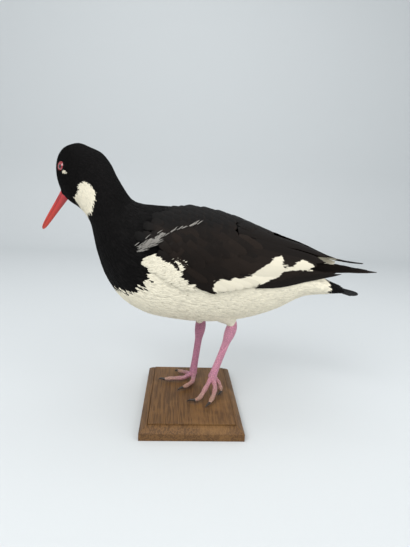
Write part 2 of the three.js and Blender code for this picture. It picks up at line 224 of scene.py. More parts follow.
# Each lamp's place, its power in watts and the side of its square, and the spot they all face.
LAMPS = {
    "key": ((-0.75, -0.95, 1.25), 17.0, 1.1),
    "fill": ((0.95, -0.85, 0.75), 8.0, 1.3),
    "top": ((0.1, 0.25, 1.6), 9.0, 1.4),
}
LAMP_TARGET = Vector((0.02, 0.02, 0.14))
ROOM_COLOUR = (0.90, 0.95, 0.98, 1.0)
ROOM_STRENGTH = 0.55
for lamp_name, (lamp_place, power, lamp_side) in LAMPS.items():
    lamp_data = bpy.data.lights.new(lamp_name, "AREA")
    lamp_data.energy = power
    lamp_data.size = lamp_side
    lamp = bpy.data.objects.new(lamp_name, lamp_data)
    lamp.location = lamp_place
    aim = LAMP_TARGET - Vector(lamp_place)
    lamp.rotation_euler = aim.to_track_quat("-Z", "Y").to_euler()
    bpy.context.scene.collection.objects.link(lamp)
world = bpy.data.worlds.new("room_light")
world.use_nodes = True
world.node_tree.nodes["Background"].inputs["Color"].default_value = ROOM_COLOUR
world.node_tree.nodes["Background"].inputs["Strength"].default_value = ROOM_STRENGTH
bpy.context.scene.world = world
bpy.context.scene.view_settings.view_transform = "Standard"

# The wooden base: one block of brown-stained hardwood with a moulded edge round a raised
# panel. The steps of the moulding are insets of the top face, and its arrises are eased.
low_corner, high_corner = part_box("stand_base")
BASE_WIDTH = high_corner[0] - low_corner[0]
BASE_DEPTH = high_corner[1] - low_corner[1]
BASE_EDGE = 0.008
# Each step's inset and rise.
BASE_STEPS = [(0.0006, 0.0006), (0.0030, 0.0019), (0.0036, 0.0017), (0.0036, 0.0009), (0.0009, -0.0009),
              (0.0003, 0.0023)]
EASED = 0.00018
EASED_ANGLE = math.radians(12)
wood = Paint("stained_wood")
along_grain = wood.place((80.0, 3.0, 80.0))
rings = wood.noise(2.3, 4.0, along_grain, 0.62)
pores = wood.noise(16.0, 5.0, wood.place((60.0, 2.4, 60.0)), 0.7)
streak = ((rings * 38.0).sine() * 0.5 + 0.5) * 0.6 + pores * 0.4
brown = wood.mix(streak, (0.060, 0.026, 0.007), (0.190, 0.092, 0.028))
worn = wood.mix(wood.noise(38.0, 4.0).ramp(0.52, 0.72) * 0.55, brown, (0.250, 0.125, 0.038))
wood_material = wood.finish(worn, 0.45 + pores * 0.2, streak + pores, 0.00025, 0.7,
                            Specular_IOR_Level=0.35)


def ease_arrises(solid, clear_angle, reach):
    """Rounds the edges of a solid that join faces at more than a clear angle."""
    sharp = [edge for edge in solid.edges if edge.calc_face_angle(0.0) > clear_angle]
    bmesh.ops.bevel(solid, geom=sharp, offset=reach, segments=2, profile=0.5, affect="EDGES",
                    material=-1, clamp_overlap=True)


block = bmesh.new()
block_height = BASE_EDGE - BASE_STEPS[0][1]
bmesh.ops.create_cube(block, size=1.0)
bmesh.ops.scale(block, vec=(BASE_WIDTH, BASE_DEPTH, block_height), verts=block.verts)
bmesh.ops.translate(block, vec=(0, 0, block_height / 2), verts=block.verts)
panel = max(block.faces, key=lambda face: face.calc_center_median().z)
for inset, rise in BASE_STEPS:
    bmesh.ops.inset_region(block, faces=[panel], thickness=inset, depth=0.0)
    bmesh.ops.translate(block, vec=(0, 0, rise), verts=panel.verts)
ease_arrises(block, EASED_ANGLE, EASED)
base_mesh = bpy.data.meshes.new("wooden_base")
block.to_mesh(base_mesh)
block.free()
base = link_mesh("wooden_base", base_mesh, wood_material, smooth=False)
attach(base, "root")
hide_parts("stand_base")

# The bird's skin: one closed form from the root of the tail to the root of the bill.
# Tanned skin stretched over a carved body, dyed by the plumage that grows from it.
# Most of the bird's numbers are in millimetres, and MM makes metres of them.
MM = 0.001
MIDLINE = 18.0
BILL_ROOT = np.array([-0.1504, 0.050, 0.232])
TURN_DEGREES = 38
HEAD_TURN = math.radians(TURN_DEGREES)
HEAD_DROP = math.radians(44)
HEAD_BACK = np.array([math.cos(HEAD_DROP) * math.cos(HEAD_TURN),
                      -math.cos(HEAD_DROP) * math.sin(HEAD_TURN), math.sin(HEAD_DROP)])
HEAD_UP = np.array([-math.sin(HEAD_DROP) * math.cos(HEAD_TURN),
                    math.sin(HEAD_DROP) * math.sin(HEAD_TURN), math.cos(HEAD_DROP)])
HEAD_RIGHT = np.array([math.sin(HEAD_TURN), math.cos(HEAD_TURN), 0.0])


def in_head(back, up, right):
    """A place by the head's own directions, in millimetres from the root of the bill."""
    return BILL_ROOT + (HEAD_BACK * back + HEAD_UP * up + HEAD_RIGHT * right) * MM


def on_midline(back_x, back_z, low_x, low_z, half, waist):
    """A station that lies square across the bird."""
    return [back_x, MIDLINE, back_z, low_x, MIDLINE, low_z, half, 0, waist]


def face_row(back, up, low, half, turned=TURN_DEGREES):
    """A station of the face, with its upper point in the head's own directions."""
    return [*(in_head(back, up, 0) / MM), *low, half, turned, 0.5]


# Each station holds the point on the back, the point below, the half width, the turn of the
# station in degrees and where between the two points it is widest. All in millimetres.
BODY = np.array([
    on_midline(172, 140, 166, 134, 15, 0.5),
    on_midline(150, 149, 150, 132.5, 22, 0.5),
    on_midline(122, 165, 122, 128.5, 29, 0.5),
    on_midline(95, 183, 93, 113, 36, 0.5),
    on_midline(65, 198, 63, 102.5, 42, 0.48),
    on_midline(35, 210, 33, 97, 45, 0.47),
    on_midline(5, 219, 3, 96, 46.5, 0.47),
    on_midline(-25, 223, -28, 99, 46.5, 0.48),
    on_midline(-47, 224, -55, 105, 45, 0.5),
    on_midline(-61, 225, -80, 120, 41.5, 0.52),
    on_midline(-70, 228, -97, 143, 36, 0.52),
    on_midline(-76, 234, -107, 169, 30.5, 0.5),
    on_midline(-82, 243, -111.5, 188, 26.5, 0.5),
    [-89, 19.5, 254, -114, 18.5, 200, 24, 3, 0.5],
    [-96, 22, 266, -118, 20, 208.5, 22, 9, 0.5],
    [-106, 25, 276, -122.5, 24, 213.5, 20.5, 17, 0.5],
    [-119, 29, 281.5, -127, 28.5, 217, 19.6, 26, 0.5],
    face_row(56.5, 20.5, [-130.4, 32.5, 218.8], 19.6, 33),
    face_row(48, 28, [-133.2, 36, 219.9], 19.4),
    face_row(39.5, 32.5, [-136, 38.6, 221.2], 18.4),
    face_row(31, 32.3, [-138.8, 41, 222.6], 16.4),
    face_row(22.5, 27, [-141.2, 43, 224], 13),
    face_row(14, 18.5, [-143.4, 44.8, 225.3], 9.8),
    face_row(6, 10.8, [-145.2, 46.2, 226.5], 7.4),
    face_row(0, 6.2, in_head(0, -6.2, 0) / MM, 5.4),
])
BILL_END = len(BODY) - 1
NECK_START = 11
HEAD_START = 16.5


def between(rows, at):
    """Numbers of a row list at fractional row numbers, along a smooth curve through the rows."""
    at = np.asarray(at, float)
    last = len(rows) - 1
    i = np.clip(np.floor(at), 0, last - 1).astype(int)
    f = (at - i)[..., None]
    a, b, c, d = (rows[np.clip(i + k, 0, last)] for k in (-1, 0, 1, 2))
    return b + 0.5 * f * (c - a + f * (2 * a - 5 * b + 4 * c - d + f * (3 * (b - c) + d - a)))


def body_point(at, angle, grow):
    """A place on the body: a station number, an angle from the back (0) by the right side
    (a quarter turn) to below, and a distance out from the surface in millimetres."""
    at, angle, grow = np.broadcast_arrays(np.asarray(at, float), angle, grow)
    row = between(BODY, at)
    top, low = row[..., 0:3], row[..., 3:6]
    middle = low + (top - low) * row[..., 8:9]
    turned = np.radians(row[..., 7])
    side = np.stack([np.sin(turned), np.cos(turned), 0 * turned], -1)
    reach = np.where((np.cos(angle) > 0)[..., None], top, low) - middle
    height = np.abs(np.cos(angle)) * (1 + grow / np.linalg.norm(reach, axis=-1))
    sideways = np.sin(angle) * (row[..., 6] + grow)
    return (middle + reach * height[..., None] + side * sideways[..., None]) * MM


# The feathers' depth over the skin at each station, in millimetres.
COAT_DEPTH = [(0, 2.2), (10, 2.4), (13, 1.7), (16, 1.2), (20, 0.9), (24, 0.5)]


def coat_depth(at):
    """How deep the feathers lie at a station."""
    return np.interp(at, *np.array(COAT_DEPTH).T)


# The border between white below and black above, as distance along the bird and height, and the
# white half collar of winter on each side of the throat, as station and angle from the back.
BORDER = [(-140, 140), (-71, 140), (-60, 146), (-56, 160), (-52, 172), (-45, 178), (-38, 173),
          (-31, 169), (-20, 174), (-12, 170), (-6, 156), (4, 146), (40, 152), (90, 166),
          (126, 157), (132, 400)]
COLLAR = [(15.0, 86), (14.1, 83), (13.5, 85), (13.3, 101), (13.2, 122), (13.7, 140), (14.2, 181),
          (15.6, 181), (15.9, 141), (16.3, 131), (15.6, 113), (15.5, 99)]
# How many degrees one station counts as beside an angle, how far the collar is moved back and
# drawn in, and a small white crescent on each side of the head: station, angle, half sizes.
STATION_DEGREES = 12
COLLAR_BACK, COLLAR_INSET = 3, 1.2
CRESCENT = (17.6, 86.5, 0.40, 2.8)
CRESCENT_EDGE = 2.0
# How softly the markings end, and the station where the dark end of the tail's root starts.
MARKING_BLUR = 12
TAIL_DARK_END, TAIL_EDGE = 1.15, 22


def inside(outline, x, y):
    """Distance inside a closed outline, negative outside it, in the outline's units."""
    far = np.full(np.shape(x), 1e9)
    within = np.zeros(np.shape(x), bool)
    for (ax, ay), (bx, by) in zip(outline, outline[1:] + outline[:1]):
        span = max((bx - ax) ** 2 + (by - ay) ** 2, 1e-12)
        t = np.clip(((x - ax) * (bx - ax) + (y - ay) * (by - ay)) / span, 0, 1)
        far = np.minimum(far, np.hypot(x - ax - t * (bx - ax), y - ay - t * (by - ay)))
        if ay != by:
            crossing = (ay > y) != (by > y)
            within ^= crossing & (x < ax + (y - ay) * (bx - ax) / (by - ay))
    return np.where(within, far, -far)


def whiteness(points, at, angle):
    """1 where the plumage is white and 0 where it is dark, crossing 0.5 at the border."""
    x, z = points[..., 0] / MM, points[..., 2] / MM
    below = np.interp(x, *np.array(BORDER).T) - z
    folded = np.degrees(np.abs((angle + math.pi) % math.tau - math.pi))
    outline = [(station * STATION_DEGREES, degrees) for station, degrees in COLLAR]
    collar = inside(outline, at * STATION_DEGREES - COLLAR_BACK, folded) - COLLAR_INSET
    station, degrees, half_length, half_width = CRESCENT
    crescent = 1 - np.hypot((at - station) / half_length, (folded - degrees) / half_width)
    marked = np.maximum(below, np.maximum(collar, crescent * CRESCENT_EDGE))
    tail_edge = (at - TAIL_DARK_END) * TAIL_EDGE
    return np.clip(0.5 + np.minimum(marked, tail_edge) / MARKING_BLUR, 0, 1)


def ring_body(name, around, along, place):
    """A closed body of rings, and the row and column of each point. place(rows, columns) gives
    where the points go, and the first and last rows are the two ends."""
    shape = bmesh.new()
    bmesh.ops.create_uvsphere(shape, u_segments=around, v_segments=along, radius=1.0)
    spots = np.array([corner.co for corner in shape.verts])
    rows = np.rint(np.arccos(np.clip(spots[:, 2], -1, 1)) / math.pi * along).astype(int)
    columns = np.rint(np.arctan2(spots[:, 1], spots[:, 0]) / math.tau * around).astype(int) % around
    columns[(rows == 0) | (rows == along)] = 0
    for corner, spot in zip(shape.verts, place(rows, columns)):
        corner.co = spot
    bmesh.ops.recalc_face_normals(shape, faces=shape.faces)
    made = bpy.data.meshes.new(name)
    shape.to_mesh(made)
    shape.free()
    return made, rows, columns


def set_floats(mesh, name, values):
    """Gives a mesh an attribute, from one number or a number for each point."""
    layer = mesh.attributes.new(name, "FLOAT", "POINT")
    numbers = np.broadcast_to(np.asarray(values, np.float32), len(mesh.vertices))
    layer.data.foreach_set("value", np.ascontiguousarray(numbers))


BLACK = (0.0024, 0.0021, 0.0021)


def plumage(name, dark, pale, shine):
    """Plumage that reads from the mesh its markings, and the painted shade and highlight along each
    feather: white, tone, and along and across a vane.
    """
    coat = Paint(name)
    along, across = coat.attribute("along"), coat.attribute("across")
    tone = coat.attribute("tone")
    barbs = (across.size() * 46.0 + along * 60.0 + tone * 9.0).sine() * 0.5 + 0.5
    shaft = 1.0 - across.size().ramp(0.0, 0.12)
    ragged = coat.noise(520.0, 3.0, coat.place((0.22, 1.0, 1.0))) - 0.5
    white = (coat.attribute("white") + ragged * 0.4).ramp(0.46, 0.54)
    soot = coat.mix(tone.power(2.0), dark, toned(dark, 2.6))
    soot = coat.mix(coat.attribute("dusk") * 0.85, soot, BLACK)
    # Paler feather tips: worn tips, and a painted highlight.
    soot = coat.mix(along.ramp(0.8, 1.0) * 0.5, soot, toned(dark, 2.2))
    cream = coat.mix(tone * 0.6 + coat.noise(60.0) * 0.4, pale, toned(pale, 0.80))
    cream = coat.mix(tone.ramp(0.7, 1.0) * 0.25, cream, toned(pale, 0.58))
    # Painted shade: the white is darker at each feather's root, where it lies under its neighbours.
    cream = coat.mix(along.ramp(0.0, 0.3), toned(pale, 0.86), cream)
    colour = coat.mix(white, soot, cream)
    height = barbs * 0.35 + shaft * 0.3 + coat.noise(1500.0, 2.0) * 0.2
    return coat.finish(colour, 0.66 - barbs * 0.1 + white * 0.2, height, 0.0002, 0.4,
                       Specular_IOR_Level=shine)


WHITE = (0.90, 0.835, 0.67)
black_coat = plumage("black_and_white_plumage", BLACK, WHITE, 0.06)

SKIN_AROUND, SKIN_ALONG = 112, 210
# How far under the feathers' surface the skin lies, as a share of their depth, and how its
# paint reads on it between the feathers.
SKIN_UNDER = 0.45
BARE_MARKS = {"tone": 0.3, "along": 0.3, "across": 0.5}
BOTH_WAYS = np.array([0, math.pi])


def skin_ring(rows, columns):
    """The station and the angle of each of the skin's points."""
    at = np.clip((rows - 1) / (SKIN_ALONG - 2), 0, 1) * BILL_END
    return at, columns / SKIN_AROUND * math.tau


def skin_place(rows, columns):
    """The places of the skin's points."""
    at, angle = skin_ring(rows, columns)
    spots = body_point(at, angle, -SKIN_UNDER * coat_depth(at))
    for row, station in ((0, 0), (SKIN_ALONG, BILL_END)):
        spots[rows == row] = body_point(station, BOTH_WAYS, -1.0).mean(axis=0)
    return spots


skin_mesh, skin_rows, skin_columns = ring_body("skin", SKIN_AROUND, SKIN_ALONG, skin_place)
skin_points = skin_place(skin_rows, skin_columns)
set_floats(skin_mesh, "white", whiteness(skin_points, *skin_ring(skin_rows, skin_columns)))
for key, value in BARE_MARKS.items():
    set_floats(skin_mesh, key, value)
skin = link_mesh("skin", skin_mesh, black_coat)
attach(skin, "root")
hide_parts("torso", "neck", "head")

# The contour feathers: soft overlapping tufts that grow from head to tail, each a thin closed
# blade with a raised middle. They are long and broad on the body and tiny on the face.
RANDOM = np.random.default_rng(7)
SPREAD_STEPS = np.array([0.7548776662466927, 0.5698402909980532])
# A tuft's four points from root to tip as shares of its length, its width at the first three,
# and its thickness as a share of its width.
TUFT_STEPS = (0.0, 0.38, 0.75, 1.0)
TUFT_WIDTHS = np.array([0.55, 1.0, 0.72])
TUFT_THICK = 0.10
TUFT_CORNERS = 10
# Each feather has its own small patch of the coat's map, inside a margin.
PATCH, MAP_MARGIN = 0.0015, 0.02


def even_spread(count):
    """Points spread evenly over a unit square."""
    return (0.5 + np.arange(count)[:, None] * SPREAD_STEPS) % 1.0


def unit(vectors):
    """Vectors of the same directions, one long."""
    return vectors / np.linalg.norm(vectors, axis=-1, keepdims=True)


def on_map(along, around):
    """Places on the coat's map from two shares."""
    return MAP_MARGIN + (1 - 2 * MAP_MARGIN) * np.stack([along, around], -1)


def joined_feathers(name, corners, faces, across, along, floats, uv):
    """One mesh of many like feathers. corners holds each feather's points, faces the corner
    numbers of all faces, and across and along one feather's own places on its vane."""
    count = len(corners)
    mesh = bpy.data.meshes.new(name)
    mesh.vertices.add(count * len(along))
    mesh.vertices.foreach_set("co", corners.reshape(-1))
    mesh.loops.add(faces.size)
    mesh.loops.foreach_set("vertex_index", faces.reshape(-1))
    mesh.polygons.add(len(faces))
    mesh.polygons.foreach_set("loop_start", np.arange(len(faces)) * faces.shape[1])
    mesh.update(calc_edges=True)
    set_floats(mesh, "along", np.tile(along, count))
    set_floats(mesh, "across", np.tile(across, count))
    for key, values in floats.items():
        set_floats(mesh, key, values)
    patch = PATCH * np.stack([across, along * 2 - 1], -1)
    places = (uv[:, None, :] + patch[None]).reshape(-1, 2)
    layer = mesh.uv_layers.new(name="OFBake")
    layer.data.foreach_set("uv", places[faces.reshape(-1)].reshape(-1))
    return mesh


def blades(name, spine, normal, width, floats, uv, material):
    """Joined tufts. spine holds each tuft's four points from root to tip, and normal and width
    its outward direction and full width."""
    count = len(spine)
    heading = spine[:, 1:] - spine[:, :-1]
    heading = np.concatenate([heading, heading[:, -1:]], 1)
    across = np.cross(normal[:, None, :], heading)
    across /= np.linalg.norm(across, axis=-1, keepdims=True) + 1e-12
    half = width[:, None, None] * TUFT_WIDTHS[None, :, None] / 2
    body = spine[:, :3]
    raised = body + normal[:, None, :] * (width * TUFT_THICK)[:, None, None]
    sides = [body - across[:, :3] * half, raised, body + across[:, :3] * half]
    corners = np.concatenate([np.stack(sides, 2).reshape(count, 9, 3), spine[:, 3:4]], 1)
    faces = [(0, 2, 1)]
    for row in (0, 3):
        faces += [(row, row + 1, row + 4), (row, row + 4, row + 3)]
        faces += [(row + 1, row + 2, row + 5), (row + 1, row + 5, row + 4)]
        faces += [(row + 2, row, row + 3), (row + 2, row + 3, row + 5)]
    faces += [(6, 7, 9), (7, 8, 9), (8, 6, 9)]
    faces = np.array(faces)[:, ::-1]
    index = (np.arange(count)[:, None, None] * TUFT_CORNERS + faces[None]).reshape(-1, 3)
    along = np.repeat(TUFT_STEPS, (3, 3, 3, 1))
    cross = np.array([-1, 0, 1] * 3 + [0.0])
    floats = {key: np.repeat(values, TUFT_CORNERS) for key, values in floats.items()}
    mesh = joined_feathers(name, corners, index, cross, along, floats, uv)
    return link_mesh(name, mesh, material, smooth=False)


# The net of places over which a coat is spread, the small step that finds the body's own
# directions, and the least distance in millimetres that a station or a turn is taken to cover.
NET_ALONG, NET_AROUND = 400, 96
NUDGE = 0.01
LEAST_PACE = 2.0
# How far out the tufts' points lie, as shares of the coat's depth, and how uneven they are.
COAT_OUTS = (-0.55, -0.22, -0.02)
UNEVEN = 0.06
SWAY = 0.16
# The ruffled nape: how far its feathers stand out, its station and how far along it reaches.
NAPE_OUT, NAPE_STATION, NAPE_REACH = 1.1, 15.9, 1.1
# How ragged the border of the markings is, in metres and in stations.
RAGGED, RAGGED_STATION = 0.0020, 0.07


def body_coat(name, start, end, count, length, width, raise_tip, keep=None):
    """Tufts on the body between two stations. length and width are in millimetres, each a pair
    for the start and the end."""
    fine = np.linspace(start, end, NET_ALONG)
    ring = np.linspace(0, math.tau, NET_AROUND + 1)
    surface = body_point(*np.meshgrid(fine, ring, indexing="ij"), 0.0)
    du = np.diff(surface, axis=0)[:, :-1]
    dv = np.diff(surface, axis=1)[:-1]
    area = np.linalg.norm(np.cross(du, dv), axis=-1)
    spread = even_spread(count)
    by_row = np.concatenate([[0], np.cumsum(area.sum(1))])
    at = np.interp(spread[:, 0] * by_row[-1], by_row, fine)
    row = np.clip(np.searchsorted(fine, at) - 1, 0, len(area) - 1)
    by_angle = np.concatenate([np.zeros((len(area), 1)), np.cumsum(area, 1)], 1)
    by_angle /= by_angle[:, -1:]
    target = spread[:, 1]
    column = np.clip((by_angle[row] <= target[:, None]).sum(1) - 1, 0, NET_AROUND - 1)
    low, high = by_angle[row, column], by_angle[row, column + 1]
    angle = ring[column] + (target - low) / np.maximum(high - low, 1e-9) * (ring[1] - ring[0])
    root = body_point(at, angle, 0.0)
    chosen = np.ones(count, bool) if keep is None else keep(root)
    at, angle, root = at[chosen], angle[chosen], root[chosen]
    count = len(at)
    share = (at - start) / (end - start)
    long = (length[0] + (length[1] - length[0]) * share) * RANDOM.uniform(0.8, 1.2, count)
    wide = (width[0] + (width[1] - width[0]) * share) * RANDOM.uniform(0.8, 1.2, count)
    onward = body_point(at + NUDGE, angle, 0.0) - root
    sideways = body_point(at, angle + NUDGE, 0.0) - root
    back = long / np.maximum(np.linalg.norm(onward, axis=-1) / NUDGE / MM, LEAST_PACE)
    sway = RANDOM.normal(0, SWAY, count) * long
    turn_pace = np.linalg.norm(sideways, axis=-1) / NUDGE / MM
    depth = coat_depth(at)
    nape = NAPE_OUT * np.exp(-((at - NAPE_STATION) / NAPE_REACH) ** 2) * np.maximum(0, np.cos(angle)) ** 2
    spine = []
    for step, out in zip(TUFT_STEPS, (*COAT_OUTS, raise_tip)):
        swayed = angle + sway * step ** 1.5 / np.maximum(turn_pace, LEAST_PACE)
        lifted = depth * out
        if step:
            lifted = lifted + RANDOM.uniform(-UNEVEN, UNEVEN, count) * depth
        lifted = lifted + nape * min(1.0, 0.5 + step)
        spine.append(body_point(np.maximum(at - back * step, -0.2), swayed, lifted))
    normal = np.cross(sideways, onward)
    outward = root - body_point(at, BOTH_WAYS[:, None] + 0 * at, 0.0).mean(axis=0)
    normal = unit(normal * np.sign((normal * outward).sum(-1, keepdims=True)))
    jitter = root + RANDOM.normal(0, RAGGED, root.shape)
    white = whiteness(jitter, at + RANDOM.normal(0, RAGGED_STATION, count), angle) > 0.5
    floats = {"white": np.where(white, 1.0, 0.0), "tone": RANDOM.uniform(0, 1, count)}
    uv = on_map(at / BILL_END, angle / math.tau)
    made = blades(name, np.stack(spine, 1), normal, wide * MM, floats, uv, black_coat)
    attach(made, "root")
    return made


# The lower edge of what the folded wings hide, as distance along the bird and height, where it
# starts, and how far from the midline it lies.
HIDDEN_ABOVE = [(-66, 200), (-40, 188), (-15, 166), (10, 150), (36, 147), (60, 148), (85, 152),
                (110, 157), (136, 161), (160, 165)]
HIDDEN_START, HIDDEN_SIDE = -50, 16


def clear_of_wings(root):
    """Leaves out the tufts that the folded wings hide."""
    x, y, z = root.T / MM
    above = z > np.interp(x, *np.array(HIDDEN_ABOVE).T)
    return ~(above & (np.abs(y - MIDLINE) > HIDDEN_SIDE) & (x > HIDDEN_START))


body_tufts = body_coat("body_feathers", 0.4, NECK_START, 12000, (8.0, 13.0), (3.6, 4.4), 0.1,
                       clear_of_wings)
neck_tufts = body_coat("neck_feathers", NECK_START - 0.6, HEAD_START, 9500, (8.0, 4.4), (2.3, 1.4), 0.15)
# Where the eyes lie in the head, and the bare skin round them.
EYE_BACK, EYE_UP = 32.0, 8.5
LID_SIDE, LID_BARE = 17.2, 0.0050


def clear_of_eyes(root):
    """Leaves out the tufts over the bare rings of the eyes."""
    lids = [in_head(EYE_BACK, EYE_UP, side * LID_SIDE) for side in (-1, 1)]
    return np.all([np.linalg.norm(root - lid, axis=-1) >= LID_BARE for lid in lids], axis=0)


head_tufts = body_coat("head_feathers", HEAD_START - 0.4, BILL_END - 0.15, 11500, (3.8, 1.4),
                       (1.4, 0.7), 0.25, clear_of_eyes)

# The thighs: short soft white feathers round the top of each leg, hanging to the ankle.
# Each is a tapering sleeve of skin under its own tufts.
THIGHS = {
    "left": ((43.8, 8.5, 95.0), (33.0, 6.0, 120.0), 15.0),
    "right": ((9.7, 36.0, 91.0), (8.0, 34.0, 120.0), 10.0),
}
THIGH_AROUND, THIGH_ALONG = 32, 24
THIGH_UNDER = 0.8
THIGH_TUFTS = 900
THIGH_OUTS = (-0.9, -0.2, 0.1, 0.2)
LOWEST_TIP = -0.18


def thigh_sleeve(knee, thigh, half):
    """A function that gives places round a thigh, from a share of its length, an angle and a
    distance out."""
    heading = unit(thigh - knee)
    sideways = unit(np.cross(heading, [-1.0, 0, 0]))
    fore = np.cross(sideways, heading)
    widths = np.array([[4.6, 5.0], [half * 0.7, half * 0.9], [half, half * 1.4], [half, half * 1.5]])

    def sleeve(share, angle, grow):
        wide, high = np.moveaxis(between(widths, share * 3), -1, 0)
        centre = knee + (thigh - knee) * share[..., None]
        spot = centre + sideways * ((wide + grow) * np.sin(angle))[..., None]
        return (spot + fore * ((high + grow) * np.cos(angle))[..., None]) * MM

    return sleeve


for side_name, (knee, thigh, half) in THIGHS.items():
    knee, thigh = np.array(knee), np.array(thigh)
    sleeve = thigh_sleeve(knee, thigh, half)

    def thigh_place(rows, columns):
        share = np.clip((rows - 1) / (THIGH_ALONG - 2), 0, 1)
        spots = sleeve(share, columns / THIGH_AROUND * math.tau, -THIGH_UNDER)
        for row, end in ((0, 0.0), (THIGH_ALONG, 1.0)):
            spots[rows == row] = sleeve(np.full(2, end), BOTH_WAYS, -THIGH_UNDER).mean(axis=0)
        return spots

    thigh_mesh = ring_body(side_name + "_thigh", THIGH_AROUND, THIGH_ALONG, thigh_place)[0]
    set_floats(thigh_mesh, "white", 1.0)
    for key, value in BARE_MARKS.items():
        set_floats(thigh_mesh, key, value)
    thigh_skin = link_mesh(side_name + "_thigh", thigh_mesh, black_coat)
    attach(thigh_skin, "root")
    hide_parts(side_name + "_thigh")
    spread = even_spread(THIGH_TUFTS)
    share, angle = spread[:, 0] ** 0.8, spread[:, 1] * math.tau
    long = RANDOM.uniform(5.0, 8.0, THIGH_TUFTS) / np.linalg.norm(thigh - knee)
    spine = []
    for step, out in zip(TUFT_STEPS, THIGH_OUTS):
        down = np.maximum(share - long * step, LOWEST_TIP)
        spine.append(sleeve(np.maximum(down, 0), angle, out + 0 * angle)
                     + (thigh - knee) * np.minimum(down, 0)[:, None] * MM)
    normal = unit(sleeve(share, angle, 1.0 + 0 * angle) - sleeve(share, angle, 0 * angle))
    width = RANDOM.uniform(2.4, 3.6, THIGH_TUFTS) * (0.5 + 0.5 * share) * MM
    thigh_floats = {"white": np.ones(THIGH_TUFTS), "tone": RANDOM.uniform(0, 1, THIGH_TUFTS)}
    tufts = blades(side_name + "_thigh_feathers", np.stack(spine, 1), normal, width, thigh_floats,
                   on_map(share, angle / math.tau), black_coat)
    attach(tufts, "root")

# The folded wings: stiff brown-black feathers in tiers that overlap like roof tiles, from
# small coverts at the bend to the long flight feathers, with the white bar of the closed wing.
BED_START, BED_STEP = -80.0, 40.0
BED = np.array([
    [226, 180, 125, 38], [227.5, 172, 105, 48.5], [226.5, 163, 96, 51], [216.5, 158, 96, 49.5],
    [201.5, 157, 105, 42.5], [187.5, 159, 128, 31.5], [171.5, 160, 146, 18], [166, 160, 152, 9],
    [163, 159, 154, 5],
])
LOWER_EDGE = np.array([[196], [178], [154], [143], [139.5], [140.5], [144.5], [149], [153], [157]])
# Each wing's side, its bend and its tip.
WINGS = {"left": (-1.0, -66.0, 163.0), "right": (1.0, -54.0, 214.0)}
WING_LENGTH = WINGS["left"][2] - WINGS["left"][1]
VANE_ALONG, VANE_ACROSS = 12, 6
VANE_THICK = 0.00035
WING_BAR = [(17, 144), (18, 151), (25, 155), (34, 153.5), (42, 157), (57, 159), (72, 169), (86, 179.5),
            (90, 175), (90, 167), (86, 159), (67, 150), (62, 146), (40, 142), (22, 141)]
PRIMARY_STRIPE = [(92, 165), (104, 170), (114, 173), (126, 168), (124, 163.5), (108, 166)]
# The wings' own stretch of the coat's map, along the bird and in height.
MAP_LENGTH, MAP_HEIGHT = 310, 300


def bed_row(x):
    """The bed's top, widest height, bottom and half width at a distance along the bird."""
    return np.moveaxis(between(BED, (x - BED_START) / BED_STEP), -1, 0)


def bed_point(x, angle, side, out):
    """The surface that the folded wings lie on, at an angle from its top."""
    top, middle, bottom, half = bed_row(x)
    upright = np.where(np.cos(angle) > 0, top - middle, middle - bottom)
    y = MIDLINE + side * (half + out) * np.sin(angle)
    return np.stack([x + 0 * angle, y, middle + (upright + out) * np.cos(angle)], -1) * MM


def bed_angle(x, height):
    """The angle round the bed of a height in the side view."""
    top, middle, bottom, _ = bed_row(x)
    upright = np.where(height > middle, top - middle, middle - bottom)
    return np.arccos(np.clip((height - middle) / upright, -0.95, 0.965))


def bed_map(points):
    """Places on the coat's map of points on the bed."""
    return on_map((points[:, 0] / MM - BED_START) / MAP_LENGTH, points[:, 2] / MM / MAP_HEIGHT)


def smooth(value, low, high):
    """0 below low and 1 above high, with a gentle start and end."""
    share = np.clip((value - low) / (high - low), 0, 1)
    return share * share * (3 - 2 * share)


def vanes(name, spots, normals, thick, floats, uv, material):
    """Joined feathers from grids of points, each closed by an underside and a rim."""
    count, along, across = spots.shape[:3]
    per = along * across
    under = spots - normals * thick
    corners = np.concatenate([spots.reshape(count, per, 3), under.reshape(count, per, 3)], 1)
    cell = np.arange(per).reshape(along, across)
    a, b = cell[:-1, :-1].ravel(), cell[1:, :-1].ravel()
    c, d = cell[1:, 1:].ravel(), cell[:-1, 1:].ravel()
    rim = np.concatenate([cell[:-1, 0], cell[-1, :-1], cell[:0:-1, -1], cell[0, :0:-1]])
    onward = np.roll(rim, -1)
    quads = np.concatenate([
        np.stack([a, b, c, d], 1), np.stack([a, d, c, b], 1) + per,
        np.stack([rim, rim + per, onward + per, onward], 1),
    ])
    index = (np.arange(count)[:, None, None] * 2 * per + quads[None]).reshape(-1, 4)
    u, v = np.meshgrid(np.linspace(0, 1, along), np.linspace(-1, 1, across), indexing="ij")
    for key, values in floats.items():
        values = np.broadcast_to(values.reshape(count, -1), (count, per))
        floats[key] = np.tile(values, (1, 2)).reshape(-1)
    mesh = joined_feathers(name, corners, index, np.tile(v.ravel(), 2), np.tile(u.ravel(), 2), floats, uv)
    shape = bmesh.new()
    shape.from_mesh(mesh)
    bmesh.ops.recalc_face_normals(shape, faces=shape.faces)
    shape.to_mesh(mesh)
    shape.free()
    return link_mesh(name, mesh, material, smooth=False)


# Tiers of long feathers: how many, the places of the first and last roots, of the first and last
# tips, as distance behind the bend and height, width, lift off the bed, and how narrow the tip is.
LONG_TIERS = [
    (7, (128, 147), (136, 158), (229, 157.5), (180, 165), 7.5, 0.35, 0.35),
    (10, (62, 152), (126, 163), (88, 140.5), (168, 157), 9.5, 0.55, 0.6),
    (5, (100, 168), (108, 204), (180, 163.5), (213, 174), 15.0, 1.3, 0.5),
    (11, (40, 165), (116, 184), (68, 149), (152, 172), 11.0, 0.95, 0.6),
    (11, (26, 180), (108, 198), (48, 163), (134, 185), 11.5, 1.3, 0.6),
]
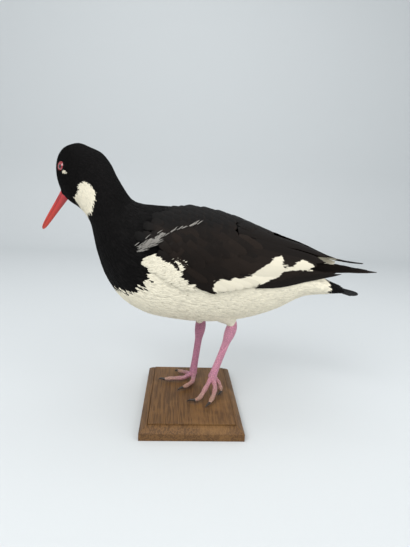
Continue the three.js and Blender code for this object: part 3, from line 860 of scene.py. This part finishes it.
# Small coverts and shoulder feathers: rows from the bend of the wing back. Past SMALL_ROWS only
# the upper share of a row is there, since the long feathers start below it. ROW_TOP and ROW_FALL
# give the height where the first rows start.
SMALL_ROWS, BACK_ROWS, BACK_SHARE = 11, 16, 0.4
ROW_START, ROW_STEP = 2.0, 8.2
ROW_TOP, ROW_FALL = 186, 26
SMALL_WIDTH, SMALL_WIDER = 8.5, 0.35
SMALL_SPACING = 0.62
SMALL_LENGTH = (13.0, 17.0)
SMALL_LIFT, SMALL_POINT = 1.05, 0.62
RIDGE_ANGLE = (math.radians(20), math.radians(12))


def wing_stretch(bend, tip):
    """A wing's length beside the left wing's."""
    return (tip - bend) / WING_LENGTH


def wing_feathers(bend, tip):
    """Roots, tips, width, lift and point of every feather of one wing, the lowest tier first."""
    stretch = wing_stretch(bend, tip)
    found = []
    for tier_count, root0, root1, tip0, tip1, width, lift, point in LONG_TIERS:
        for k in range(tier_count):
            f = k / (tier_count - 1)
            root = [root0[i] + (root1[i] - root0[i]) * f for i in (0, 1)]
            end = [tip0[i] + (tip1[i] - tip0[i]) * f + RANDOM.normal(0, 0.4) for i in (0, 1)]
            root_x, end_x = bend + root[0] * stretch, bend + end[0] * stretch
            found.append([root_x, float(bed_angle(root_x, root[1])), end_x, float(bed_angle(end_x, end[1])),
                          width, lift + 0.12 * f, point])
    for row in range(BACK_ROWS, -1, -1):
        behind = ROW_START + row * ROW_STEP
        x = bend + behind * stretch
        share = behind / WING_LENGTH
        low = float(bed_angle(x, between(LOWER_EDGE, share * 9)[0]))
        low = max(low - 0.02 - 0.05 * row, 0.5)
        # The rows open out from a point at the bend to the whole side of the bird.
        opening = min(1.0, math.sqrt(share * 5))
        ridge = RIDGE_ANGLE[0] + (RIDGE_ANGLE[1] - RIDGE_ANGLE[0]) * float(smooth(share, 0.25, 0.45))
        high = float(bed_angle(x, ROW_TOP - ROW_FALL * share)) * (1 - opening) + ridge * opening
        width = SMALL_WIDTH + SMALL_WIDER * row
        top, middle, _, half = bed_row(x)
        girth = (top - middle + half) / 2 * (low - high)
        row_count = max(2, int(girth / (width * SMALL_SPACING)))
        for k in range(row_count if row <= SMALL_ROWS else int(row_count * BACK_SHARE)):
            f = (k + 0.5 * (row % 2)) / row_count - 0.04
            angle = high + (low - high) * f
            size = SMALL_LENGTH[0] + (SMALL_LENGTH[1] - SMALL_LENGTH[0]) * row / BACK_ROWS
            fall = 0.10 + 0.10 * RANDOM.random() - 0.12 * (1 - f)
            found.append([x, angle, x + size * RANDOM.uniform(0.9, 1.1), angle + fall, width,
                          SMALL_LIFT + 0.2 * math.sin(f * 9), SMALL_POINT])
    return np.array(found)


# Where a vane's tip starts to round off and over what share of it, the arch across the vane,
# how far one edge lies under its neighbour, and how far its root is tucked in.
TIP_START, TIP_SHARE = 0.82, 0.18
ARCH, TUCK, ROOT_TUCK = 0.12, 0.35, 1.4
BROWN = (0.0058, 0.0036, 0.0025)
brown_coat = plumage("brown-black_flight_plumage", BROWN, (0.84, 0.775, 0.62), 0.12)
for wing_name, (side, bend, tip) in WINGS.items():
    feathers = wing_feathers(bend, tip)
    count = len(feathers)
    x0, g0, x1, g1, width, lift, point = feathers.T[:, :, None, None]
    u = np.linspace(0, 1, VANE_ALONG)[None, :, None]
    v = np.linspace(-1, 1, VANE_ACROSS)[None, None, :]
    x, angle = x0 + (x1 - x0) * u, g0 + (g1 - g0) * u
    top, middle, bottom, half = bed_row(x)
    upright = np.where(np.cos(angle) > 0, top - middle, middle - bottom)
    round_bed = np.hypot(half * np.cos(angle), upright * np.sin(angle))
    run_x, run_g = x1 - x0, (g1 - g0) * round_bed
    run = np.hypot(run_x, run_g)
    tip_share = ((u - TIP_START) / TIP_SHARE).clip(0, 1)
    blunt = np.sqrt(np.clip(1 - tip_share ** 2 * (1 - point ** 2 * 0.2), 0, 1))
    taper = 1 - (1 - point) * smooth(u, 0.35, 1.0) * 0.75
    narrow = np.minimum(1, 0.55 + 1.6 * u) * taper * blunt
    # Where a vane has split, its edge steps in a little.
    split = RANDOM.uniform(0.45, 0.85, (count, 1, 1))
    notch = 1 - 0.10 * (np.abs(u - split) < 0.06) * (v > 0)
    across = v * width * narrow * notch / 2
    bow = 0.25 * width * ARCH * (1 - v ** 2)
    out = lift * np.minimum(1, 0.15 + 2.2 * u) - TUCK * v - ROOT_TUCK * (0.3 - u).clip(0, 1) + bow
    place_x, place_angle, out = np.broadcast_arrays(x - run_g / run * across,
                                                    angle + run_x / run * across / round_bed, out)
    spots = bed_point(place_x, place_angle, side, out)
    normals = unit(bed_point(place_x, place_angle, side, out + 1.0) - spots)
    mark_x = (spots[..., 0] / MM - bend) / wing_stretch(bend, tip) + WINGS["left"][1]
    mark_z = spots[..., 2] / MM
    white = inside(WING_BAR, mark_x, mark_z)
    white = np.maximum(white, inside(PRIMARY_STRIPE, mark_x, mark_z))
    white = np.clip(0.5 + (white + RANDOM.normal(0, 0.9, (count, 1, 1))) / 9, 0, 1)
    dusk = np.maximum(smooth(mark_z, 196, 214), smooth(-mark_x, 30, 55))
    floats = {"white": white, "dusk": dusk, "tone": RANDOM.uniform(0, 1, (count, 1))}
    uv = on_map((feathers[:, 0] - BED_START) / MAP_LENGTH, feathers[:, 1] / math.pi)
    wing = vanes(wing_name + "_wing_feathers", spots, normals, VANE_THICK, floats, uv, brown_coat)
    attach(wing, "root")
    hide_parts(wing_name + "_wing")

# The flank feathers that lie over the lower front edge of each wing: long soft white tufts in
# two ragged points, pushed up over the coverts when the wings were folded.
FLANK_OUTLINE = [(-56, 168), (-52, 173), (-45, 178), (-38, 173), (-31, 169), (-20, 174), (-12, 171),
                 (-16, 163), (-18, 156), (-8, 149), (0, 144), (-12, 143), (-30, 152), (-46, 162)]
FLANK_COUNT = 1500
FLANK_SHIFT = (4.0, 1.5)
FLANK_OUTS = (-0.6, 1.0, 1.5, 1.5)


def laid_tufts(x, height, run_x, run_z, side, outs):
    """Spines and outward directions of tufts that lie on the bed of the wings."""
    spine = []
    for step, out in zip(TUFT_STEPS, outs):
        along = x + run_x * step
        spine.append(bed_point(along, bed_angle(along, height + run_z * step), side, np.full(len(x), out)))
    above = bed_point(x, bed_angle(x, height), side, np.full(len(x), outs[0] + 1.0))
    return np.stack(spine, 1), unit(above - spine[0])


flank_x = RANDOM.uniform(-58, 2, FLANK_COUNT)
flank_z = RANDOM.uniform(142, 179, FLANK_COUNT)
depth_inside = inside(FLANK_OUTLINE, flank_x + FLANK_SHIFT[0], flank_z + FLANK_SHIFT[1])
held = depth_inside > RANDOM.normal(0.3, 0.7, FLANK_COUNT)
flank_x, flank_z = flank_x[held], flank_z[held]
count = len(flank_x)
for side_name, side in (("left", -1.0), ("right", 1.0)):
    run_x, run_z = RANDOM.normal(7.5, 1.0, count), RANDOM.normal(2.6, 0.9, count)
    spine, outward = laid_tufts(flank_x, flank_z, run_x, run_z, side, FLANK_OUTS)
    width = RANDOM.uniform(1.6, 2.8, count) * MM
    floats = {"white": np.ones(count), "tone": RANDOM.uniform(0, 1, count)}
    flank = blades(side_name + "_flank_feathers", spine, outward, width, floats, bed_map(spine[:, 0]),
                   black_coat)
    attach(flank, "root")

# The shoulder tuft: a spray of loose grey-white down that shows between the coverts of the left
# shoulder, and a thin line of it above the wing.
DOWN_LINES = [((-62, 181), (-38, 194), 85, 2.2), ((-36, 197), (0, 208), 14, 0.4)]
DOWN_OUTS = (0.6, 1.9, 2.4, 2.3)
laid = []
for (start_x, start_z), (end_x, end_z), count, scatter in DOWN_LINES:
    share = RANDOM.uniform(0, 1, count)
    root_x = start_x + (end_x - start_x) * share + RANDOM.normal(0, scatter, count)
    root_z = start_z + (end_z - start_z) * share + RANDOM.normal(0, scatter, count)
    run_x, run_z = RANDOM.normal(6.5, 1.2, count), RANDOM.normal(3.0, 1.2, count)
    laid.append(laid_tufts(root_x, root_z, run_x, run_z, -1.0, DOWN_OUTS))
down_spine, down_normal = (np.concatenate(parts) for parts in zip(*laid))
count = len(down_spine)
down_width = RANDOM.uniform(0.5, 1.0, count) * MM
down_floats = {"white": np.ones(count), "tone": RANDOM.uniform(0.6, 1, count)}
grey_down = plumage("grey_down", BROWN, (0.34, 0.32, 0.29), 0.1)
down = blades("shoulder_down", down_spine, down_normal, down_width, down_floats,
              bed_map(down_spine[:, 0]), grey_down)
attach(down, "root")

# The tail: twelve stiff feathers, black but for their white roots, in a shallow fan with the
# middle pair on top. Short coverts of the body's coat cover their roots.
TAIL_COUNT = 12
TAIL_START = (152.0, 142.6)
TAIL_LENGTH, TAIL_SHORTER = 39.0, 0.4
TAIL_FAN = math.radians(3.2)
TAIL_HALF_WIDTH, TAIL_SPACING = 5.2, 1.6
TAIL_SLOPE, TAIL_ROOF, TAIL_OVERLAP = 0.23, 0.4, 0.35
TAIL_VANE = (16, 7)
TAIL_THICK = 0.0004
WHITE_ROOT = 0.13
tail_coat = plumage("tail_plumage", BLACK, WHITE, 0.2)
order = np.arange(TAIL_COUNT) - (TAIL_COUNT - 1) / 2
u = np.linspace(0, 1, TAIL_VANE[0])[None, :, None]
v = np.linspace(-1, 1, TAIL_VANE[1])[None, None, :]
off = order[:, None, None]
length = TAIL_LENGTH - TAIL_SHORTER * off ** 2
heading = TAIL_FAN * off
tip_share = ((u - 0.86) / 0.14).clip(0, 1)
wide = v * TAIL_HALF_WIDTH * (0.55 + 0.45 * u) * np.sqrt(1 - tip_share ** 2 * 0.96)
reach = u * length * (1 - 0.03 * v ** 2)
x = TAIL_START[0] + reach * np.cos(heading) - wide * np.sin(heading)
y = MIDLINE + off * TAIL_SPACING + reach * np.sin(heading) + wide * np.cos(heading)
drop = TAIL_SLOPE * reach + TAIL_ROOF * np.abs(off) + TAIL_OVERLAP * v * np.sign(off)
spots = np.stack(np.broadcast_arrays(x, y, TAIL_START[1] - drop), -1) * MM
normals = np.broadcast_to(np.array([0.0, 0.0, 1.0]), spots.shape)
white = 0.5 + (WHITE_ROOT - u - 0.03 * np.cos(v * 3)) * 3 + 0 * off
floats = {"white": np.clip(white, 0, 1), "tone": RANDOM.uniform(0, 1, (TAIL_COUNT, 1))}
uv = np.stack([np.full(TAIL_COUNT, 0.05), 0.1 + 0.06 * np.arange(TAIL_COUNT)], -1)
tail = vanes("tail_feathers", spots, normals, TAIL_THICK, floats, uv, tail_coat)
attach(tail, "root")
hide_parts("tail")

# The bill: horn, orange-red and pinker at its root, in two halves that close on a thin line.
# A long narrow nostril lies on each side near the root of the upper half.
BILL = np.array([
    [-2.0, 6.4, -6.4, 5.3], [7, 6.2, -6.1, 4.3], [16, 5.9, -5.7, 3.6], [27, 5.5, -5.2, 3.0],
    [39, 5.0, -4.7, 2.5], [50, 4.3, -4.1, 2.0], [58, 3.3, -3.3, 1.6], [62.5, 1.9, -2.0, 1.0],
    [64, 0.6, -0.6, 0.4],
])
BILL_AROUND, BILL_ALONG = 40, 96
BILL_LENGTH = 64
MOUTH_GAP = 0.15
# Each half's direction from the mouth, and how much painted shade darkens its edge along the mouth.
BILL_HALVES = {"upper": (1.0, 0.35), "lower": (-1.0, 0.7)}
LIP_HEIGHT = 1.1
# The nostril's place and half size along the bill, then its height and half height.
NOSTRIL = (11.5, 5.6, 2.4, 0.75)
NOSTRIL_DEPTH = 0.30
horn = Paint("bill_horn")
ahead, edge = horn.attribute("ahead"), horn.attribute("edge")
mottle = horn.noise(95.0, 4.0, horn.place((1.0, 1.0, 1.0)))
orange = horn.mix(ahead.ramp(0.0, 0.55), (0.50, 0.026, 0.036), (0.56, 0.032, 0.014))
orange = horn.mix(ahead.ramp(0.6, 1.0), orange, (0.50, 0.040, 0.018))
orange = horn.mix(mottle.ramp(0.45, 0.75) * 0.5, orange, (0.40, 0.050, 0.035))
# Painted shade: darker along the mouth line, more on the lower half under the upper, and in the nostril
# slit.
orange = horn.mix(edge * 0.75, orange, (0.16, 0.022, 0.020))
fibres = horn.noise(700.0, 3.0)
horn_material = horn.finish(orange, 0.36 + mottle * 0.2, mottle * 0.6 + fibres * 0.4, 0.0003, 0.6,
                            Coat_Weight=0.08)


def bill_form(rows, columns, sign, lip_shade):
    """One half of the bill: the places of its points, how far ahead each is, and how much painted shade
    darkens it.
    """
    share = np.clip((rows - 1) / (BILL_ALONG - 2), 0, 1)
    distance, ridge, keel, half = np.moveaxis(between(BILL, share * (len(BILL) - 1)), -1, 0)
    reach = np.where(sign > 0, ridge, -keel) - MOUTH_GAP
    angle = columns / BILL_AROUND * math.tau
    rise = np.maximum(0, np.cos(angle)) ** 0.8 * reach
    side = half * np.sin(angle)
    pole = (rows == 0) | (rows == BILL_ALONG)
    rise, side = np.where(pole, reach * 0.4, rise), np.where(pole, 0, side)
    # The nostril slit: a shallow dent, darkened with painted shade.
    slit_at, slit_half, slit_height, slit_half_height = NOSTRIL
    slit = ((distance - slit_at) / slit_half) ** 6 + ((rise - slit_height) / slit_half_height) ** 2
    slit = np.exp(-slit) * (sign > 0)
    side = side * (1 - NOSTRIL_DEPTH * slit)
    lip = 1 - np.clip(rise / LIP_HEIGHT, 0, 1)
    spots = HEAD_BACK * -distance[:, None] + HEAD_UP * (sign * (MOUTH_GAP + rise))[:, None]
    spots = BILL_ROOT + (spots + HEAD_RIGHT * side[:, None]) * MM
    return spots, distance / BILL_LENGTH, np.clip(slit * 1.3 + lip * lip_shade, 0, 1)


for half_name, (sign, lip_shade) in BILL_HALVES.items():
    def bill_place(rows, columns):
        return bill_form(rows, columns, sign, lip_shade)[0]

    bill_mesh, rows, columns = ring_body(half_name + "_bill", BILL_AROUND, BILL_ALONG, bill_place)
    _, how_far, painted_shade = bill_form(rows, columns, sign, lip_shade)
    set_floats(bill_mesh, "ahead", how_far)
    set_floats(bill_mesh, "edge", painted_shade)
    bill = link_mesh(half_name + "_bill", bill_mesh, horn_material)
    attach(bill, "root")
    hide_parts(half_name + "_bill")

# The eyes: glass balls with a red iris round a black pupil, each in a ring of bare
# orange-pink skin that stands a little proud of the plumage.
EYE_OUT, EYE_FORWARD = 14.0, math.radians(-4)
EYE_RADIUS = 6.2
IRIS_ANGLE, PUPIL_ANGLE = math.radians(47), math.radians(21)
LID_RADIUS, LID_THICK, LID_OUT = 4.75, 0.75, 3.9
glass = Paint("red_glass_eye")
gaze = glass.attribute("gaze")
rays = glass.noise(900.0, 3.0)
iris = glass.mix(gaze.ramp(math.cos(IRIS_ANGLE), math.cos(PUPIL_ANGLE)), (0.11, 0.003, 0.009),
                 (0.34, 0.010, 0.024))
iris = glass.mix(rays.ramp(0.4, 0.7) * 0.35, iris, (0.48, 0.04, 0.06))
seen = glass.mix(gaze.ramp(math.cos(PUPIL_ANGLE) - 0.008, math.cos(PUPIL_ANGLE) + 0.004), iris,
                 (0.003, 0.002, 0.002))
seen = glass.mix(gaze.ramp(math.cos(IRIS_ANGLE) - 0.02, math.cos(IRIS_ANGLE)), (0.02, 0.004, 0.004), seen)
glass_material = glass.finish(seen, 0.05, rays, 0.00005, 0.1, Coat_Weight=1.0, Coat_Roughness=0.02)
lid_skin = Paint("bare_skin_of_the_lids")
pits = lid_skin.noise(1400.0, 3.0)
lid_colour = lid_skin.mix(pits, (0.24, 0.025, 0.032), (0.42, 0.070, 0.070))
lid_material = lid_skin.finish(lid_colour, 0.42 + pits * 0.2, pits, 0.0002, 0.6,
                               Subsurface_Weight=0.1, Subsurface_Scale=0.001)
for side_name, side in (("left", -1.0), ("right", 1.0)):
    look = HEAD_RIGHT * side * math.cos(EYE_FORWARD) - HEAD_BACK * math.sin(EYE_FORWARD)
    centre = in_head(EYE_BACK, EYE_UP, side * EYE_OUT)
    turned = Vector((0, 0, 1)).rotation_difference(Vector(look)).to_matrix().to_4x4()
    ball = bmesh.new()
    bmesh.ops.create_uvsphere(ball, u_segments=64, v_segments=48, radius=EYE_RADIUS * MM)
    gaze_values = [corner.co.z / (EYE_RADIUS * MM) for corner in ball.verts]
    bmesh.ops.transform(ball, matrix=Matrix.Translation(Vector(centre)) @ turned, verts=ball.verts)
    eye_mesh = bpy.data.meshes.new(side_name + "_eye")
    ball.to_mesh(eye_mesh)
    ball.free()
    set_floats(eye_mesh, "gaze", gaze_values)
    eye = link_mesh(side_name + "_eye", eye_mesh, glass_material)
    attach(eye, "root")
    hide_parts(side_name + "_eye")
    # The ring of lid: a circle carried round the line of sight, with small folds.
    ring = bmesh.new()
    bmesh.ops.create_circle(ring, cap_ends=False, segments=14, radius=LID_THICK * MM)
    quarter = Matrix.Translation((LID_RADIUS * MM, 0, LID_OUT * MM)) @ Matrix.Rotation(math.pi / 2, 4, "X")
    bmesh.ops.transform(ring, matrix=quarter, verts=ring.verts)
    bmesh.ops.spin(ring, geom=ring.verts[:] + ring.edges[:], cent=(0, 0, 0), axis=(0, 0, 1),
                   angle=math.tau, steps=72, use_merge=True)
    bmesh.ops.remove_doubles(ring, verts=ring.verts, dist=1e-6)
    for corner in ring.verts:
        round_eye = math.atan2(corner.co.y, corner.co.x)
        fold = 1 + 0.018 * math.sin(round_eye * 23) + 0.012 * math.sin(round_eye * 41 + 1)
        corner.co.x *= fold
        corner.co.y *= fold
    bmesh.ops.transform(ring, matrix=Matrix.Translation(Vector(centre)) @ turned, verts=ring.verts)
    bmesh.ops.recalc_face_normals(ring, faces=ring.faces)
    lid_mesh = bpy.data.meshes.new(side_name + "_lid_ring")
    ring.to_mesh(lid_mesh)
    ring.free()
    lid = link_mesh(side_name + "_lid_ring", lid_mesh, lid_material)
    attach(lid, "root")

# The legs and feet: bare pink skin in small scales, with a knob at the ankle, pads under
# the toes and no hind toe. Dried skin of an old mount, tan towards the toes.
SHANK = np.array([[4.3, 4.6], [3.5, 4.2], [3.1, 4.0], [3.0, 4.0], [3.1, 4.1], [3.5, 4.4], [4.9, 6.0],
                  [5.0, 6.2], [4.2, 4.6]])
TOE = np.array([[2.6, 2.9], [3.0, 2.8], [2.4, 2.2], [2.7, 2.5], [2.2, 2.0], [2.5, 2.3], [1.5, 1.5]])
CLAW = np.array([[1.6, 1.5], [1.3, 1.3], [0.9, 1.0], [0.35, 0.35]])
# How many points a limb has round it and along it, and how far its scales stand out.
SHANK_FACES, TOE_FACES, CLAW_FACES = (32, 150), (24, 64), (20, 30)
SHANK_SCALES, TOE_SCALES = 0.035, 0.06
# The ball where the toes of a foot meet, and how tan it and the ends of the toes are.
KNOT_RADIUS = 5.0
KNOT_TAN, TOE_TAN = 0.15, 1.1
LEGS = {
    "left": {
        "joint": (24.8, 2, 32.9), "ankle": (43.7, 8, 87.2), "knee": (43.8, 8.5, 97),
        "toes": {
            "inner": [(21.8, -1.9, 29), (15.5, -13.5, 24), (9.7, -23.3, 19.5), (4.2, -26.2, 17.8)],
            "middle": [(25.6, -3.5, 30), (26.9, -12.1, 25.5), (24.3, -22, 20.5), (19.8, -31.6, 17.8)],
            "outer": [(29.5, 0.5, 29), (33.2, -0.5, 23.5), (34.8, -4.8, 17.8)],
        },
        "claws": {
            "inner": [(4.4, -26.2, 17.6), (-0.8, -26.2, 17.9), (-4.7, -24.6, 15.5)],
            "middle": [(19.8, -31.4, 17.6), (17, -36, 17.6), (14.6, -37.9, 15.5)],
            "outer": [(34.8, -4.8, 17.6), (33.2, -8.4, 17.2), (30.8, -9.8, 15.5)],
        },
    },
    "right": {
        "joint": (3.4, 30, 23.7), "ankle": (10.1, 36, 79.9), "knee": (9.7, 36, 93),
        "toes": {
            "inner": [(3.8, 24, 21.8), (2.4, 14.9, 19.6), (-3.5, 7.6, 18.3), (-9, 3.4, 17.6)],
            "middle": [(-1.5, 28, 21.5), (-8.2, 25.6, 18.8), (-18, 25, 18.2), (-30.6, 24, 17.6)],
            "outer": [(-0.5, 34.5, 20.6), (-6.5, 42, 18.4), (-14.6, 48, 17.5)],
        },
        "claws": {
            "inner": [(-8.8, 3.6, 17.5), (-12.6, 0.6, 17.5), (-15, -0.6, 15.5)],
            "middle": [(-30.4, 24, 17.5), (-35, 25.3, 17.6), (-38.6, 27.4, 15.5)],
            "outer": [(-14.4, 47.8, 17.3), (-17.2, 49.9, 17.1), (-19, 50.8, 15.5)],
        },
    },
}
# The raised panel of the base, which the toes rest on.
PANEL_TOP = 14.6


def even_route(points, count):
    """Points evenly spaced along a smooth curve through the given ones."""
    points = np.array(points, float)
    fine = between(points, np.linspace(0, len(points) - 1, 400))
    run = np.concatenate([[0], np.cumsum(np.linalg.norm(np.diff(fine, axis=0), axis=1))])
    even = np.linspace(0, run[-1], count)
    return np.stack([np.interp(even, run, fine[:, i]) for i in range(3)], 1)


def limb_mesh(name, points, widths, faces, level, scales=0.0):
    """A closed limb along a curve, with rings of scales that stand out a little."""
    around, along = faces
    route = even_route(points, along - 1)
    tangent = unit(np.gradient(route, axis=0))

    def place(rows, columns):
        step = np.clip(rows - 1, 0, along - 2)
        share = step / (along - 2)
        wide, high = np.moveaxis(between(widths, share * (len(widths) - 1)), -1, 0)
        side = unit(np.cross(tangent[step], np.array(level, float)))
        upward = np.cross(side, tangent[step])
        angle = columns / around * math.tau
        pole = (rows == 0) | (rows == along)
        ripple = 1 + scales * np.abs(np.sin(step * math.pi / 3)) * np.maximum(0.3, np.cos(angle))
        ripple = np.where(pole, 0, ripple)
        spots = route[step] + side * (wide * np.sin(angle) * ripple)[:, None]
        spots = spots + upward * (high * np.cos(angle) * ripple)[:, None]
        spots[:, 2] = np.maximum(spots[:, 2], PANEL_TOP)
        return spots * MM

    return ring_body(name, around, along, place)


def leg_paint(name, pink, tan):
    """Scaly bare skin, pink and going over to tan where the mesh says so."""
    leather = Paint(name)
    plates = leather.node("ShaderNodeTexVoronoi", {"feature": "DISTANCE_TO_EDGE"},
                          {"Vector": leather.place((1.0, 1.0, 0.62)), "Scale": 620.0})
    seam = Term(leather.tree, plates.outputs["Distance"]).ramp(0.0, 0.16)
    age = leather.noise(70.0, 4.0)
    colour = leather.mix(age.ramp(0.35, 0.7) * 0.6, pink, toned(pink, 0.72))
    colour = leather.mix(leather.attribute("tan") * 0.85, colour, tan)
    colour = leather.mix((1.0 - seam) * 0.5, colour, (0.20, 0.050, 0.070))
    return leather.finish(colour, 0.40 + age * 0.2, seam * 0.8 + age * 0.5, 0.0008, 1.0,
                          Subsurface_Weight=0.1, Subsurface_Scale=0.002)


claw_horn = Paint("black_claw_horn")
claw_lines = claw_horn.noise(500.0, 4.0, claw_horn.place((1.0, 1.0, 4.0)))
claw_material = claw_horn.finish(claw_horn.mix(claw_lines, (0.010, 0.008, 0.007), (0.05, 0.036, 0.028)),
                                 0.30 + claw_lines * 0.2, claw_lines, 0.0002, 0.6)
# The left leg, near the camera, has the lit pink. The right leg, on the far side, has the same pink darker:
# painted shade.
LEG_PINKS_LIT_AND_SHADED = {"left": (0.80, 0.350, 0.480), "right": (0.63, 0.260, 0.385)}
LEG_TAN = (0.50, 0.330, 0.210)
for side_name, leg in LEGS.items():
    leg_material = leg_paint(side_name + "_leg_skin", LEG_PINKS_LIT_AND_SHADED[side_name], LEG_TAN)
    shank_route = [leg["joint"], leg["ankle"], leg["knee"]]
    shank_mesh = limb_mesh(side_name + "_shank", shank_route, SHANK, SHANK_FACES, (-1.0, 0, 0),
                           SHANK_SCALES)[0]
    set_floats(shank_mesh, "tan", 0.0)
    shank = link_mesh(side_name + "_shank", shank_mesh, leg_material)
    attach(shank, "root")
    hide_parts(side_name + "_shank")
    knot = bmesh.new()
    bmesh.ops.create_uvsphere(knot, u_segments=32, v_segments=24, radius=KNOT_RADIUS * MM)
    bmesh.ops.translate(knot, vec=Vector(leg["joint"]) * MM, verts=knot.verts)
    foot_mesh = bpy.data.meshes.new(side_name + "_foot")
    toe_tans = [KNOT_TAN] * len(knot.verts)
    for digit, route in leg["toes"].items():
        toe_mesh, rows, _ = limb_mesh(digit, [leg["joint"], *route], TOE, TOE_FACES, (0, 0, 1.0),
                                      TOE_SCALES)
        knot.from_mesh(toe_mesh)
        toe_tans += list(np.clip(rows / TOE_FACES[1] * TOE_TAN, 0, 1))
        bpy.data.meshes.remove(toe_mesh)
    knot.to_mesh(foot_mesh)
    knot.free()
    set_floats(foot_mesh, "tan", toe_tans)
    foot = link_mesh(side_name + "_foot", foot_mesh, leg_material)
    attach(foot, "root")
    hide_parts(side_name + "_foot")
    for digit, route in leg["claws"].items():
        claw_name = side_name + "_" + digit + "_claw"
        claw_mesh = limb_mesh(claw_name, route, CLAW, CLAW_FACES, (0, 0, 1.0))[0]
        claw = link_mesh(claw_name, claw_mesh, claw_material)
        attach(claw, "root")
        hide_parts(side_name + "_claw_" + digit)
